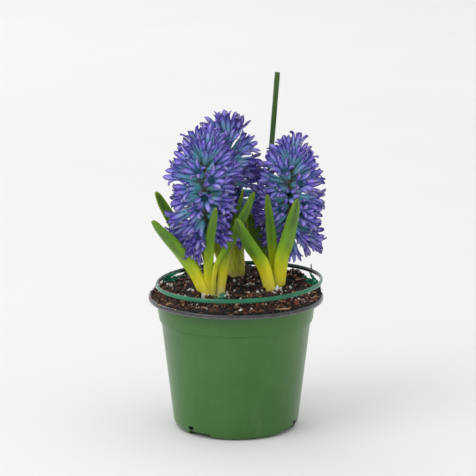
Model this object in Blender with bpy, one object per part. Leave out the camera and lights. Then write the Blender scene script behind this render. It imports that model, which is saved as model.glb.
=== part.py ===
"""Potted hyacinth: three plants in bloom in one plastic pot, with a support hoop and a stake.

Metres, +Z up. The origin is the centre of the pot's base, -Y is the front and +X the right.
"""

import math
import random

import bmesh
import bpy
from mathutils import Matrix, Vector
from mathutils.bvhtree import BVHTree

# Fit
GAP = 0.0003
FULL_TURN = 2 * math.pi

# Pot
RIM_RADIUS = 0.0825
POT_HEIGHT = 0.127
LIP_DROP = 0.005
LIP_INSIDE = ((0.0746, 0.1250), (0.0764, 0.1268))
LIP_UNDERSIDE = ((0.0759, 0.1250), (0.0770, 0.1258))
LIP_SHOULDER = (0.0018, 0.0010)
COLLAR_TOP = (0.0750, 0.1205)
COLLAR_FOOT = (0.0723, 0.1042)
BODY_TOP_HEIGHT = 0.103
BODY_FOOT_HEIGHT = 0.0105
BODY_RADIUS_AT_BASE = 0.0586
BODY_TAPER = 0.1155
WALL = 0.0012
FLOOR_TOP = 0.008
FLOOR_UNDER = 0.0066
FOOT_RING_INNER = 0.0492
FOOT_RING_OUTER = 0.0524
FOOT_RING_CORNER = 0.0486
FOOT_RING_FLARE = (0.0573, 0.0030)
ROUND_SEGMENTS = 36
NOTCH_ANGLES = (-127, -30, 53, 150)
NOTCH_WIDTH_TOP = 0.024
NOTCH_WIDTH_FOOT = 0.031
NOTCH_HEIGHT = 0.0050
NOTCH_DEPTH = 0.020
NOTCH_CENTRE = 0.056
NOTCH_BELOW = -0.002
DRAIN_SLOT_SIZE = (0.009, 0.006, 0.0034)
DRAIN_SLOT_CENTRE = (0.0592, 0.0, 0.0078)
DRAIN_SLOT_TURN = 8

# Soil
SOIL_CENTRE_HEIGHT = 0.139
SOIL_TILT = 0.022
SOIL_TILT_REACH = 0.07
SOIL_LUMP = 0.0009
SOIL_LUMP_WAVES = (173, 141, 317)
SOIL_CALM_RIM = (0.066, 0.012)
SOIL_EDGE = 0.0013
SOIL_RINGS = ((0.079, 0.1290), (0.0755, 0.1306), (0.0715, 0.1332), (0.067, 0.1367), (0.055, 0.1384),
              (0.030, 0.139))

# Bulbs: radius and height of the outline, from the root plate to the cut-off nose
BULB_OUTLINE = ((0.009, 0.082), (0.016, 0.086), (0.0215, 0.094), (0.0225, 0.103), (0.0205, 0.113),
                (0.0165, 0.1215), (0.0118, 0.1305))
BULB_SEGMENTS = 12
BULB_SLACK = 0.0005
BULB_MOUTH_RADIUS = 0.0155
BULB_MOUTH_HEIGHTS = (0.1275, 0.160)
NOSE_TOP = BULB_OUTLINE[-1][1]
STALK_LIFT = 0.0008

# Hoop, clips and stake
HOOP_RADIUS = 0.0775
HOOP_HALF_THICKNESS = 0.0014
HOOP_HALF_HEIGHT = 0.0024
HOOP_STRETCH = 2.0
HOOP_CENTRE = (0.003, 0.0, 0.139)
HOOP_TILT = math.radians(-1.95)
HOOP_SEGMENTS = (36, 6)
HOOP_NUB_ANGLE = 27
HOOP_NUB_RADIUS = 0.0009
HOOP_NUB_HEIGHT = 0.0055
HOOP_NUB_SIDES = 6
CLIP_ANGLES = (167, 255, 355, 68)
CLIP_TONGUE_WIDTH = 0.005
CLIP_TONGUE_SPAN = (-0.0033, 0.0018)
CLIP_BACK_WIDTH = 0.011
CLIP_BACK_SPAN = (-0.0045, -0.0027)
CLIP_BACK_RISE = 0.0006
CLIP_STRIPS = 5
CLIP_STRIP_SIZE = (0.0027, 0.0013, 0.0085)
CLIP_STRIP_TAPER = 0.18
CLIP_ROW_WIDTH = 0.0085
CLIP_FAN = 1.9
CLIP_FAN_VARIATION = 0.2
CLIP_NOD = (0.15, 0.75)
STAKE_RADIUS = 0.0025
STAKE_FOOT = Vector((0.0179, 0.0485, 0.048))
STAKE_TOP = Vector((0.0392, 0.0485, 0.3307))
STAKE_SIDES = 10
STAKE_HOLE_LENGTH = 0.12

# Plants: place of the bulb, stalk radius at its foot and top, stalk route, head axis and florets,
# with the bearing and rise of those that hang from the foot of the head
PLANTS = {
    "left": {
        "centre": (-0.0222, -0.0335), "stalk_radii": (0.0046, 0.0038),
        "stalk": ((-0.0222, -0.0334, 0.145), (-0.0265, -0.0308, 0.168)),
        "head": ((-0.0292, -0.028, 0.190), (-0.029, -0.028, 0.262)),
        "florets": 28, "reach": 1.06, "seed": 11, "hanging": ((-116, -57), (-165, -50)),
    },
    "right": {
        "centre": (0.0355, -0.0217), "stalk_radii": (0.0046, 0.0038),
        "stalk": ((0.0358, -0.0215, 0.145), (0.0435, -0.0155, 0.166)),
        "head": ((0.0497, -0.0105, 0.187), (0.0505, -0.010, 0.253)),
        "florets": 26, "reach": 0.99, "seed": 23, "hanging": ((-30, -58), (12, -48)),
    },
    "back": {
        "centre": (0.0, 0.0228), "stalk_radii": (0.0088, 0.0050),
        "stalk": ((0.0, 0.0230, 0.144), (0.0006, 0.0262, 0.163)),
        "head": ((0.001, 0.0300, 0.186), (-0.0065, 0.033, 0.2695)),
        "florets": 26, "reach": 0.81, "seed": 37, "hanging": ((120, -50),),
    },
}

# Leaves: foot on the bulb's nose, bearings of the outer face at foot and tip and the shares of the
# length between which it turns, width, and route to the tip
LEAVES = {
    "leaf_left_1": ((-0.0272, -0.0412), (240, 238, 0.0, 0.35), 0.0140,
                    ((-0.0393, -0.0390, 0.1564), (-0.0558, -0.0420, 0.1803), (-0.0773, -0.0480, 0.2065))),
    "leaf_left_2": ((-0.0278, -0.0284), (138, 128, 0.0, 0.35), 0.0140,
                    ((-0.0430, -0.0215, 0.1630), (-0.0549, -0.0140, 0.1898), (-0.0757, -0.0040, 0.2255))),
    "leaf_left_3": ((-0.0228, -0.0398), (258, 265, 0.0, 0.35), 0.0090,
                    ((-0.0253, -0.0460, 0.1599), (-0.0240, -0.0550, 0.1890), (-0.0184, -0.0620, 0.2222))),
    "leaf_left_4": ((-0.0205, -0.0447), (345, 288, 0.35, 0.95), 0.0120,
                    ((-0.0174, -0.0445, 0.1621), (-0.0033, -0.0430, 0.1876), (0.0175, -0.0380, 0.2321))),
    "leaf_left_5": ((-0.0142, -0.0420), (300, 333, 0.45, 0.85), 0.0100,
                    ((-0.0108, -0.0360, 0.1605), (-0.0070, -0.0330, 0.1835), (0.0082, -0.0270, 0.2318))),
    "leaf_right_1": ((0.0325, -0.0325), (242, 240, 0.0, 0.35), 0.0150,
                     ((0.0243, -0.0355, 0.1613), (0.0131, -0.0440, 0.1808), (-0.0006, -0.0545, 0.2099))),
    "leaf_right_2": ((0.0295, -0.0170), (142, 128, 0.0, 0.35), 0.0165,
                     ((0.0285, -0.0130, 0.1561), (0.0205, -0.0105, 0.1760), (0.0095, -0.0040, 0.2060))),
    "leaf_right_3": ((0.0350, -0.0282), (269, 264, 0.0, 0.35), 0.0092,
                     ((0.0352, -0.0275, 0.1623), (0.0324, -0.0370, 0.1929), (0.0283, -0.0475, 0.2312))),
    "leaf_right_4": ((0.0415, -0.0242), (300, 288, 0.0, 0.35), 0.0140,
                     ((0.0425, -0.0320, 0.1630), (0.0487, -0.0420, 0.1902), (0.0568, -0.0510, 0.2280))),
    "leaf_back_1": ((-0.0058, 0.0320), (122, 122, 0.0, 0.35), 0.0120,
                    ((-0.0095, 0.0405, 0.1600), (-0.0140, 0.0530, 0.1840), (-0.0185, 0.0660, 0.2080))),
    "leaf_back_2": ((-0.0108, 0.0243), (168, 150, 0.0, 0.35), 0.0140,
                    ((-0.0185, 0.0300, 0.1600), (-0.0310, 0.0400, 0.1840), (-0.0460, 0.0510, 0.2060))),
    "leaf_back_3": ((0.0028, 0.0334), (80, 90, 0.0, 0.35), 0.0100,
                    ((0.0020, 0.0430, 0.1600), (0.0030, 0.0565, 0.1840), (0.0040, 0.0700, 0.2080))),
}
LEAF_THICKNESS = 0.0020
LEAF_EDGE_THICKNESS = 0.0009
LEAF_FOOT_WIDTH = 0.0050
LEAF_CHANNEL = (0.09, 0.22)
LEAF_STATIONS = (-1.0, -0.55, 0.0, 0.55, 1.0)
LEAF_SHARES = (0.0, 0.12, 0.30, 0.55, 0.78, 0.93, 1.0)
LEAF_WIDEST = 0.44
LEAF_TIP_WIDTH = 0.0018
LEAF_TIP_FULLNESS = 2.6
LEAF_CHANNEL_END = 0.35
LEAF_STEP = 0.01
STALK_STEPS = 6

# Florets: distance out along the floret and from its own axis, before the plant's own scale
FLORET_LOBES = 6
FLORET_BASE = (0.0066, 0.0025)
FLORET_NOTCH = (0.0190, 0.0037)
FLORET_THROAT = 0.0160
LOBE_EDGE = (0.0268, 0.0076, 0.0031)
LOBE_RIB_OUTSIDE = (0.0262, 0.0086)
LOBE_RIB_INSIDE = (0.0276, 0.0074)
LOBE_TIP = (0.0340, 0.0120)
GOLDEN_ANGLE = math.radians(137.508)
DROOP_AT_FOOT = math.radians(-45)
DROOP_FADE = 1.6
RISE_AT_TOP = math.radians(72)
RISE_ONSET = 3.2
FLORET_SWAY = 0.12
FLORET_NOD = 0.09
FLORET_SIZE_SPREAD = (0.95, 1.04)
TOP_FLORETS = (0.75, 0.9)
HANGING_SHARE = 0.07
CORE_RADIUS = 0.0085
CORE_BELOW = 0.012
CORE_FOOT_EDGE = 0.0073
CORE_FOOT_RISE = 0.004
CORE_SHOULDERS = ((0.0085, 0.010), (0.0055, 0.003), (0.0, 0.001))
CORE_SIDES = 7
SOCKET_DEPTH = 0.006
SOCKET_SLACK = 0.0020
STALK_CLEARANCE = 0.0012
FLORET_SIZES = (1.0, 0.93, 0.86, 0.79, 0.72)
FLORET_TURNS = ((0, 0), (10, 0), (-10, 0), (0, 10), (0, -10), (14, 12), (-14, 12), (14, -12), (-14, -12))
FLORET_CLEARANCE = 1.035

COLOURS = {
    "pot_plastic": ((0.055, 0.17, 0.045, 1), 0.35, 0.0),
    "potting_mix": ((0.035, 0.018, 0.012, 1), 0.95, 0.0),
    "bulb_skin": ((0.42, 0.30, 0.20, 1), 0.6, 0.0),
    "stalk_green": ((0.22, 0.33, 0.08, 1), 0.45, 0.0),
    "leaf_green": ((0.16, 0.33, 0.03, 1), 0.4, 0.0),
    "petal_violet": ((0.13, 0.10, 0.48, 1), 0.5, 0.0),
    "hoop_green": ((0.012, 0.22, 0.12, 1), 0.35, 0.0),
    "clip_green": ((0.008, 0.12, 0.07, 1), 0.5, 0.0),
    "stake_green": ((0.10, 0.18, 0.05, 1), 0.6, 0.0),
}


def clear_scene():
    """Removes whatever the scene holds."""
    for thing in list(bpy.data.objects):
        bpy.data.objects.remove(thing, do_unlink=True)


def material(name):
    """A plain surface in one of the object's colours."""
    made = bpy.data.materials.get(name) or bpy.data.materials.new(name)
    made.use_nodes = True
    colour, roughness, metallic = COLOURS[name]
    shader = made.node_tree.nodes["Principled BSDF"]
    shader.inputs["Base Color"].default_value = colour
    shader.inputs["Roughness"].default_value = roughness
    shader.inputs["Metallic"].default_value = metallic
    made.diffuse_color = colour
    return made


def add_object(name, built, finish, smooth_below=35):
    """Turns a bmesh into a named object that is shaded smooth up to the given angle."""
    built.normal_update()
    bmesh.ops.recalc_face_normals(built, faces=built.faces)
    mesh = bpy.data.meshes.new(name)
    built.to_mesh(mesh)
    built.free()
    mesh.shade_smooth()
    mesh.set_sharp_from_angle(angle=math.radians(smooth_below))
    made = bpy.data.objects.new(name, mesh)
    made.data.materials.append(material(finish))
    bpy.context.collection.objects.link(made)
    return made


def as_helper(made):
    """Marks a cutter or a joining shape, which isn't part of the object itself."""
    made.hide_render = True
    made.display_type = "WIRE"
    return made


def combine(target, other, operation):
    """Cuts one object from another, or joins it on, with a Boolean modifier."""
    modifier = target.modifiers.new(other.name, "BOOLEAN")
    modifier.operation = operation
    modifier.object = other


def turned(outline, segments):
    """A bmesh turned about Z from an outline of radii and heights that starts and ends on the axis."""
    built = bmesh.new()
    points = [built.verts.new((radius, 0, height)) for radius, height in outline]
    edges = [built.edges.new(pair) for pair in zip(points, points[1:])]
    bmesh.ops.spin(built, geom=points + edges, cent=(0, 0, 0), axis=(0, 0, 1), angle=FULL_TURN,
                   steps=segments)
    bmesh.ops.remove_doubles(built, verts=built.verts, dist=1e-6)
    return built


def box(size, centre, matrix=Matrix.Identity(4)):
    """A bmesh block of the given size, turned by a matrix."""
    built = bmesh.new()
    place = matrix @ Matrix.Translation(centre) @ Matrix.Diagonal((*size, 1))
    bmesh.ops.create_cube(built, size=1, matrix=place)
    return built


def bearing(degrees):
    """The level unit vector at an angle from +X."""
    angle = math.radians(degrees)
    return Vector((math.cos(angle), math.sin(angle), 0))


def blend(start, end, share):
    """A value between two others, eased at both ends."""
    share = min(max(share, 0.0), 1.0)
    return start + (end - start) * share * share * (3 - 2 * share)


def along_route(points, share):
    """A point on the smooth curve through the given points, at a share of their number."""
    spans = len(points) - 1
    index = min(int(share * spans), spans - 1)
    local = share * spans - index
    before = points[index - 1] if index else 2 * points[0] - points[1]
    first, second = points[index], points[index + 1]
    after = points[index + 2] if index + 2 <= spans else 2 * second - first
    return 0.5 * (2 * first + (second - before) * local
                  + (2 * before - 5 * first + 4 * second - after) * local ** 2
                  + (3 * first - before - 3 * second + after) * local ** 3)


def body_radius(height):
    """Outer radius of the pot's tapering body."""
    return BODY_RADIUS_AT_BASE + BODY_TAPER * height


def pot_inside():
    """The pot's inner face from the middle of its floor to the inner edge of its lip."""
    return [
        (0, FLOOR_TOP),
        (body_radius(0) - 2 * WALL, FLOOR_TOP),
        (body_radius(BODY_FOOT_HEIGHT) - WALL, BODY_FOOT_HEIGHT),
        (body_radius(BODY_TOP_HEIGHT) - WALL, BODY_TOP_HEIGHT),
        (COLLAR_FOOT[0] - WALL, COLLAR_FOOT[1] + WALL / 2),
        (COLLAR_TOP[0] - WALL, COLLAR_TOP[1]),
        *LIP_INSIDE,
    ]


def pot_outside():
    """The pot's outer face from the middle of its underside, up to and over the rolled lip."""
    lip_foot = POT_HEIGHT - LIP_DROP
    return [
        (0, FLOOR_UNDER),
        (FOOT_RING_CORNER, FLOOR_UNDER),
        (FOOT_RING_INNER, 0),
        (FOOT_RING_OUTER, 0),
        FOOT_RING_FLARE,
        (body_radius(BODY_FOOT_HEIGHT), BODY_FOOT_HEIGHT),
        (body_radius(BODY_TOP_HEIGHT), BODY_TOP_HEIGHT),
        COLLAR_FOOT,
        COLLAR_TOP,
        *LIP_UNDERSIDE,
        (RIM_RADIUS - WALL, POT_HEIGHT - WALL),
        (RIM_RADIUS - WALL, lip_foot),
        (RIM_RADIUS, lip_foot),
        (RIM_RADIUS, POT_HEIGHT - LIP_SHOULDER[1]),
        (RIM_RADIUS - LIP_SHOULDER[0], POT_HEIGHT),
    ]


def notch_cutter(index, degrees):
    """A wedge with slanted ends that opens the foot ring from below."""
    built = box((1, 1, 1), (0, 0, 0))
    for corner in built.verts:
        half_width = (NOTCH_WIDTH_TOP if corner.co.z > 0 else NOTCH_WIDTH_FOOT) / 2
        corner.co = (NOTCH_CENTRE + NOTCH_DEPTH * corner.co.x, math.copysign(half_width, corner.co.y),
                     NOTCH_HEIGHT if corner.co.z > 0 else NOTCH_BELOW)
    built.transform(Matrix.Rotation(math.radians(degrees), 4, "Z"))
    return as_helper(add_object(f"notch_cutter_{index}", built, "pot_plastic"))


def drain_cutter(index, degrees):
    """A block that opens a small drain slot in the pot's corner above a notch."""
    side = 1 if index % 2 else -1
    turn = Matrix.Rotation(math.radians(degrees + side * DRAIN_SLOT_TURN), 4, "Z")
    built = box(DRAIN_SLOT_SIZE, DRAIN_SLOT_CENTRE, turn)
    return as_helper(add_object(f"drain_cutter_{index}", built, "pot_plastic"))


def make_pot():
    """The thin-walled pot with its lip, collar, step, foot ring, drainage notches and slots."""
    outline = pot_outside() + pot_inside()[::-1]
    pot = add_object("pot", turned(outline, ROUND_SEGMENTS), "pot_plastic")
    for index, degrees in enumerate(NOTCH_ANGLES):
        combine(pot, notch_cutter(index, degrees), "DIFFERENCE")
        combine(pot, drain_cutter(index, degrees), "DIFFERENCE")
    return pot


def soil_relief(x, y):
    """How far the soil's surface lies over or under its even mound."""
    radius = math.hypot(x, y)
    tilt = SOIL_TILT * (x + 0.6 * y) * min(radius / SOIL_TILT_REACH, 1.0)
    along, across, diagonal = SOIL_LUMP_WAVES
    lumps = math.sin(along * x + 1.3) * math.cos(across * y - 0.4) + 0.6 * math.sin(diagonal * (x - y) + 0.8)
    calm_from, calm_width = SOIL_CALM_RIM
    return tilt + SOIL_LUMP * lumps * blend(1.0, 0.3, (radius - calm_from) / calm_width)


def make_soil(pot_face):
    """Potting mix that fills the pot, lies on its lip and mounds over it."""
    outline = [(max(radius - GAP, 0), height + GAP) for radius, height in pot_face]
    outline[1] = (outline[1][0] - GAP, outline[1][1])
    outline.append((SOIL_RINGS[0][0], POT_HEIGHT + GAP))
    outline[-2] = (outline[-2][0], POT_HEIGHT + GAP)
    outline += list(SOIL_RINGS) + [(0, SOIL_CENTRE_HEIGHT)]
    built = turned(outline, ROUND_SEGMENTS)
    for corner in built.verts:
        if corner.co.z > POT_HEIGHT + 2 * GAP:
            raised = corner.co.z + soil_relief(corner.co.x, corner.co.y)
            corner.co.z = max(raised, POT_HEIGHT + SOIL_EDGE)
    soil = add_object("soil", built, "potting_mix", 60)
    for name, plant in PLANTS.items():
        combine(soil, bulb_cutter(name, plant["centre"]), "DIFFERENCE")
    combine(soil, stake_cutter(), "DIFFERENCE")
    return soil


def bulb_cutter(name, centre):
    """The hollow that a bulb lies in, with the plain mouth that its leaves and stalk rise through."""
    grown = [(radius + BULB_SLACK, height) for radius, height in BULB_OUTLINE[:-1]]
    foot = BULB_OUTLINE[0][1] - GAP
    outline = [(0, foot), (grown[0][0], foot)] + grown[1:]
    mouth_foot, mouth_top = BULB_MOUTH_HEIGHTS
    outline += [(BULB_MOUTH_RADIUS, mouth_foot), (BULB_MOUTH_RADIUS, mouth_top), (0, mouth_top)]
    built = turned(outline, BULB_SEGMENTS)
    built.transform(Matrix.Translation((*centre, 0)))
    return as_helper(add_object(f"bulb_cutter_{name}", built, "potting_mix"))


def make_bulb(name, centre):
    """A bulb with a flat root plate and a cut-off nose that carries the leaves and the stalk."""
    outline = [(0, BULB_OUTLINE[0][1])] + list(BULB_OUTLINE) + [(0, NOSE_TOP)]
    built = turned(outline, BULB_SEGMENTS)
    built.transform(Matrix.Translation((*centre, 0)))
    return add_object(f"bulb_{name}", built, "bulb_skin")


def make_rod(name, start, end, radius, sides, finish):
    """A straight round rod with flat ends."""
    built = bmesh.new()
    run = end - start
    place = Matrix.Translation((start + end) / 2) @ run.to_track_quat("Z", "Y").to_matrix().to_4x4()
    bmesh.ops.create_cone(built, cap_ends=True, segments=sides, radius1=radius, radius2=radius,
                          depth=run.length, matrix=place)
    return add_object(name, built, finish)


def make_stake():
    """The green rod pushed into the soil behind the heads."""
    return make_rod("stake", STAKE_FOOT, STAKE_TOP, STAKE_RADIUS, STAKE_SIDES, "stake_green")


def stake_cutter():
    """The hole that the stake's foot stands in."""
    run = (STAKE_TOP - STAKE_FOOT).normalized()
    foot = STAKE_FOOT - run * GAP
    return as_helper(make_rod("stake_cutter", foot, foot + run * STAKE_HOLE_LENGTH, STAKE_RADIUS + 2 * GAP,
                              STAKE_SIDES, "potting_mix"))


def make_hoop():
    """The support hoop, an upright oval band tilted a little to the left, with its mould's nub."""
    bpy.ops.mesh.primitive_torus_add(major_radius=HOOP_RADIUS, minor_radius=HOOP_HALF_THICKNESS,
                                     major_segments=HOOP_SEGMENTS[0], minor_segments=HOOP_SEGMENTS[1],
                                     location=HOOP_CENTRE, rotation=(0, HOOP_TILT, 0))
    hoop = bpy.context.object
    hoop.name = "support_hoop"
    hoop.scale.z = HOOP_STRETCH
    bpy.ops.object.transform_apply()
    hoop.data.materials.append(material("hoop_green"))
    hoop.data.shade_smooth()
    foot = hoop_point(HOOP_NUB_ANGLE)
    nub = make_rod("hoop_nub", foot, foot + Vector((0, 0, HOOP_NUB_HEIGHT)), HOOP_NUB_RADIUS,
                   HOOP_NUB_SIDES, "hoop_green")
    combine(hoop, as_helper(nub), "UNION")
    return hoop


def hoop_point(degrees):
    """A point on the middle line of the hoop's band."""
    place = Matrix.Translation(HOOP_CENTRE) @ Matrix.Rotation(HOOP_TILT, 4, "Y")
    return place @ (HOOP_RADIUS * bearing(degrees))


def height_over(surface, points):
    """Height that just clears a surface under all the given points."""
    above = Vector((0, 0, RIM_RADIUS))
    hits = (surface.ray_cast(point + above, Vector((0, 0, -1)))[0] for point in points)
    return max(hit.z for hit in hits if hit) + 2 * GAP


def clip_block(matrix, width, span, top, soil_surface):
    """A block of a clip, from just above the soil up to a height, between two distances outward."""
    sides = (-width / 2, 0, width / 2)
    foot = height_over(soil_surface, [matrix @ Vector((side, out, 0)) for side in sides for out in span])
    base = matrix.translation.z
    size = (width, span[1] - span[0], top - foot)
    return box(size, (0, (span[0] + span[1]) / 2, (top + foot) / 2 - base), matrix)


def clip_strip(index, draw):
    """One pointed strip of a clip, which leans along the hoop by its place in the row."""
    share = index / (CLIP_STRIPS - 1) - 0.5
    built = box(CLIP_STRIP_SIZE, (0, 0, CLIP_STRIP_SIZE[2] / 2))
    for corner in built.verts:
        if corner.co.z > CLIP_STRIP_SIZE[2] / 2:
            corner.co.x *= CLIP_STRIP_TAPER
    variation = draw.uniform(-CLIP_FAN_VARIATION, CLIP_FAN_VARIATION)
    lean = Matrix.Rotation(share * CLIP_FAN + variation, 4, "Y")
    nod = Matrix.Rotation(draw.uniform(*CLIP_NOD), 4, "X")
    foot = (share * CLIP_ROW_WIDTH, sum(CLIP_BACK_SPAN) / 2, -CLIP_STRIP_SIZE[1])
    built.transform(Matrix.Translation(foot) @ nod @ lean)
    return built


def make_clip(number, degrees, soil_surface, draw):
    """A crinkled plastic clip that stands on the soil and carries the hoop on its tongue."""
    under_hoop = hoop_point(degrees)
    place = Matrix.Translation(under_hoop) @ Matrix.Rotation(math.radians(degrees - 90), 4, "Z")
    rest_height = under_hoop.z - HOOP_HALF_HEIGHT - 2 * GAP
    back_height = under_hoop.z + CLIP_BACK_RISE
    clip = add_object(f"hoop_clip_{number}",
                      clip_block(place, CLIP_BACK_WIDTH, CLIP_BACK_SPAN, back_height, soil_surface),
                      "clip_green")
    shapes = [clip_block(place, CLIP_TONGUE_WIDTH, CLIP_TONGUE_SPAN, rest_height, soil_surface)]
    for index in range(CLIP_STRIPS):
        strip = clip_strip(index, draw)
        strip.transform(place)
        shapes.append(strip)
    joined = bpy.data.collections.new(f"clip_shapes_{number}")
    bpy.context.scene.collection.children.link(joined)
    for index, shape in enumerate(shapes):
        helper = as_helper(add_object(f"clip_shape_{number}_{index}", shape, "clip_green"))
        bpy.context.collection.objects.unlink(helper)
        joined.objects.link(helper)
    fuse(clip, joined)
    return clip


def leaf_frame(route, facing_from, facing_to, turn_start, turn_end, share):
    """Place, outward normal and width direction of a leaf at a share of its length."""
    start = along_route(route, max(share - LEAF_STEP, 0.0))
    end = along_route(route, min(share + LEAF_STEP, 1.0))
    run = (end - start).normalized()
    facing = bearing(blend(facing_from, facing_to, (share - turn_start) / (turn_end - turn_start)))
    outward = (facing - facing.dot(run) * run).normalized()
    return along_route(route, share), outward, run.cross(outward)


def leaf_width(width, share):
    """Width of a leaf that broadens from its sheathing foot and closes in a blunt tip."""
    broad = blend(LEAF_FOOT_WIDTH, width, share / LEAF_WIDEST)
    past = max(share - LEAF_WIDEST, 0) / (1 - LEAF_WIDEST)
    return max(broad * math.sqrt(1 - past ** LEAF_TIP_FULLNESS), LEAF_TIP_WIDTH)


def make_leaf(name, foot, facings, width, points):
    """A channelled strap leaf, thickest at its keel, with a blunt tip."""
    route = [Vector((*foot, NOSE_TOP + GAP))] + [Vector(point) for point in points]
    built = bmesh.new()
    rings = []
    for share in LEAF_SHARES:
        place, outward, across = leaf_frame(route, *facings, share)
        here = leaf_width(width, share)
        fold = here * blend(*LEAF_CHANNEL, share / LEAF_CHANNEL_END)
        ring = []
        for side in (1, -1):
            for station in LEAF_STATIONS[::side]:
                thickness = LEAF_EDGE_THICKNESS + (LEAF_THICKNESS - LEAF_EDGE_THICKNESS) * (1 - abs(station))
                point = place + across * here / 2 * station - outward * fold * station ** 2
                point += outward * side * thickness / 2
                if share == 0:
                    point.z = NOSE_TOP + GAP
                ring.append(built.verts.new(point))
        rings.append(ring)
    for lower, upper in zip(rings, rings[1:]):
        skin_leaf(built, lower, upper)
    cap_leaf(built, rings[0])
    cap_leaf(built, rings[-1])
    return add_object(name, built, "leaf_green", 60)


def skin_leaf(built, lower, upper):
    """Triangles between two leaf sections, with the same diagonals on both faces of the blade."""
    count = len(lower)
    half = count // 2
    for index in range(count):
        after = (index + 1) % count
        if index < half:
            pairs = ((lower[index], lower[after], upper[after]), (lower[index], upper[after], upper[index]))
        else:
            pairs = ((lower[index], lower[after], upper[index]), (lower[after], upper[after], upper[index]))
        for corners in pairs:
            built.faces.new(corners)


def cap_leaf(built, ring):
    """Closes a leaf section with a strip of faces between its outer and its inner row."""
    count = len(ring)
    for index in range(count // 2 - 1):
        built.faces.new((ring[index], ring[index + 1], ring[count - 2 - index]))
        built.faces.new((ring[index], ring[count - 2 - index], ring[count - 1 - index]))


def make_stalk(name, plant):
    """The fleshy flower stalk, from the bulb's nose into the socket of its flower head."""
    head_foot, head_top = (Vector(point) for point in plant["head"])
    upward = (head_top - head_foot).normalized()
    route = [Vector((*plant["centre"], NOSE_TOP + STALK_LIFT))]
    route += [Vector(point) for point in plant["stalk"]]
    route += [head_foot - upward * CORE_BELOW, head_foot + upward * (SOCKET_DEPTH - CORE_BELOW - STALK_CLEARANCE)]
    curve = bpy.data.curves.new(f"scape_{name}", "CURVE")
    curve.dimensions = "3D"
    curve.bevel_depth = 1.0
    curve.bevel_resolution = 2
    curve.use_fill_caps = True
    spline = curve.splines.new("POLY")
    spline.points.add(STALK_STEPS)
    for index, point in enumerate(spline.points):
        share = index / STALK_STEPS
        point.co = (*along_route(route, share), 1)
        point.radius = blend(*plant["stalk_radii"], share)
    stalk = bpy.data.objects.new(f"scape_{name}", curve)
    stalk.data.materials.append(material("stalk_green"))
    bpy.context.collection.objects.link(stalk)
    return stalk


def floret_shape():
    """Corners and faces of one floret along +X: a tube that opens into six recurved lobes."""
    def ring_point(place, angle, aside=0.0):
        out, radius = place
        return Vector((out, radius * math.cos(angle) - aside * math.sin(angle),
                       radius * math.sin(angle) + aside * math.cos(angle)))

    step = FULL_TURN / FLORET_LOBES
    corners = []
    for lobe in range(FLORET_LOBES):
        angle = lobe * step
        corners.append(ring_point(FLORET_BASE, angle))
        corners.append(ring_point(FLORET_NOTCH, angle + step / 2))
        corners.append(ring_point(LOBE_EDGE[:2], angle, -LOBE_EDGE[2]))
        corners.append(ring_point(LOBE_EDGE[:2], angle, LOBE_EDGE[2]))
        corners.append(ring_point(LOBE_RIB_OUTSIDE, angle))
        corners.append(ring_point(LOBE_RIB_INSIDE, angle))
        corners.append(ring_point(LOBE_TIP, angle))
    throat = len(corners)
    corners.append(Vector((FLORET_THROAT, 0, 0)))
    per_lobe = throat // FLORET_LOBES
    faces = [[lobe * per_lobe for lobe in reversed(range(FLORET_LOBES))]]
    for lobe in range(FLORET_LOBES):
        base, notch, low, high, outside, inside, tip = (lobe * per_lobe + place for place in range(per_lobe))
        next_base = (base + per_lobe) % throat
        last_notch = (notch - per_lobe) % throat
        faces += [
            (base, next_base, notch), (base, notch, outside), (base, outside, last_notch),
            (notch, high, outside), (last_notch, outside, low), (high, tip, outside), (low, outside, tip),
            (high, notch, inside), (last_notch, low, inside), (tip, high, inside), (low, tip, inside),
            (throat, inside, notch), (throat, last_notch, inside),
        ]
    return corners, faces


def floret_places(plant):
    """Foot, bearing, rise and roll of each floret, spiralling up the head with seeded variation."""
    draw = random.Random(plant["seed"])
    foot, top = (Vector(point) for point in plant["head"])
    count = plant["florets"]
    for index in range(count):
        share = (index + 0.5) / count
        rise = DROOP_AT_FOOT * (1 - share) ** DROOP_FADE + RISE_AT_TOP * share ** RISE_ONSET
        turn = index * GOLDEN_ANGLE + draw.uniform(-FLORET_SWAY, FLORET_SWAY)
        rise += draw.uniform(-FLORET_NOD, FLORET_NOD)
        roll = draw.uniform(0, FULL_TURN / FLORET_LOBES)
        top_from, top_size = TOP_FLORETS
        size = plant["reach"] * draw.uniform(*FLORET_SIZE_SPREAD)
        size *= blend(1.0, top_size, (share - top_from) / (1 - top_from))
        yield foot.lerp(top, share), turn, rise, roll, size
    for turn, rise in plant["hanging"]:
        yield foot.lerp(top, HANGING_SHARE), math.radians(turn), math.radians(rise), 0, plant["reach"]


def floret_matrix(foot, turn, rise, roll, size):
    """Places a floret's +X along its bearing and rise."""
    return (Matrix.Translation(foot) @ Matrix.Rotation(turn, 4, "Z") @ Matrix.Rotation(-rise, 4, "Y")
            @ Matrix.Rotation(roll, 4, "X") @ Matrix.Scale(size, 4))


def clear_place(place, shape, obstacles):
    """The first matrix that keeps a floret off every obstacle, turned or shrunk where it must be."""
    foot, turn, rise, roll, size = place
    corners, faces = shape
    for shrink in FLORET_SIZES:
        for sideways, upward in FLORET_TURNS:
            aimed = (foot, turn + math.radians(sideways), rise + math.radians(upward), roll)
            trees = []
            for grown in (1.0, FLORET_CLEARANCE):
                tested = floret_matrix(*aimed, size * shrink * grown)
                trees.append(BVHTree.FromPolygons([tested @ corner for corner in corners], faces))
            if not any(tree.overlap(obstacle) for tree in trees for obstacle in obstacles):
                return floret_matrix(*aimed, size * shrink)
    return None


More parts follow.
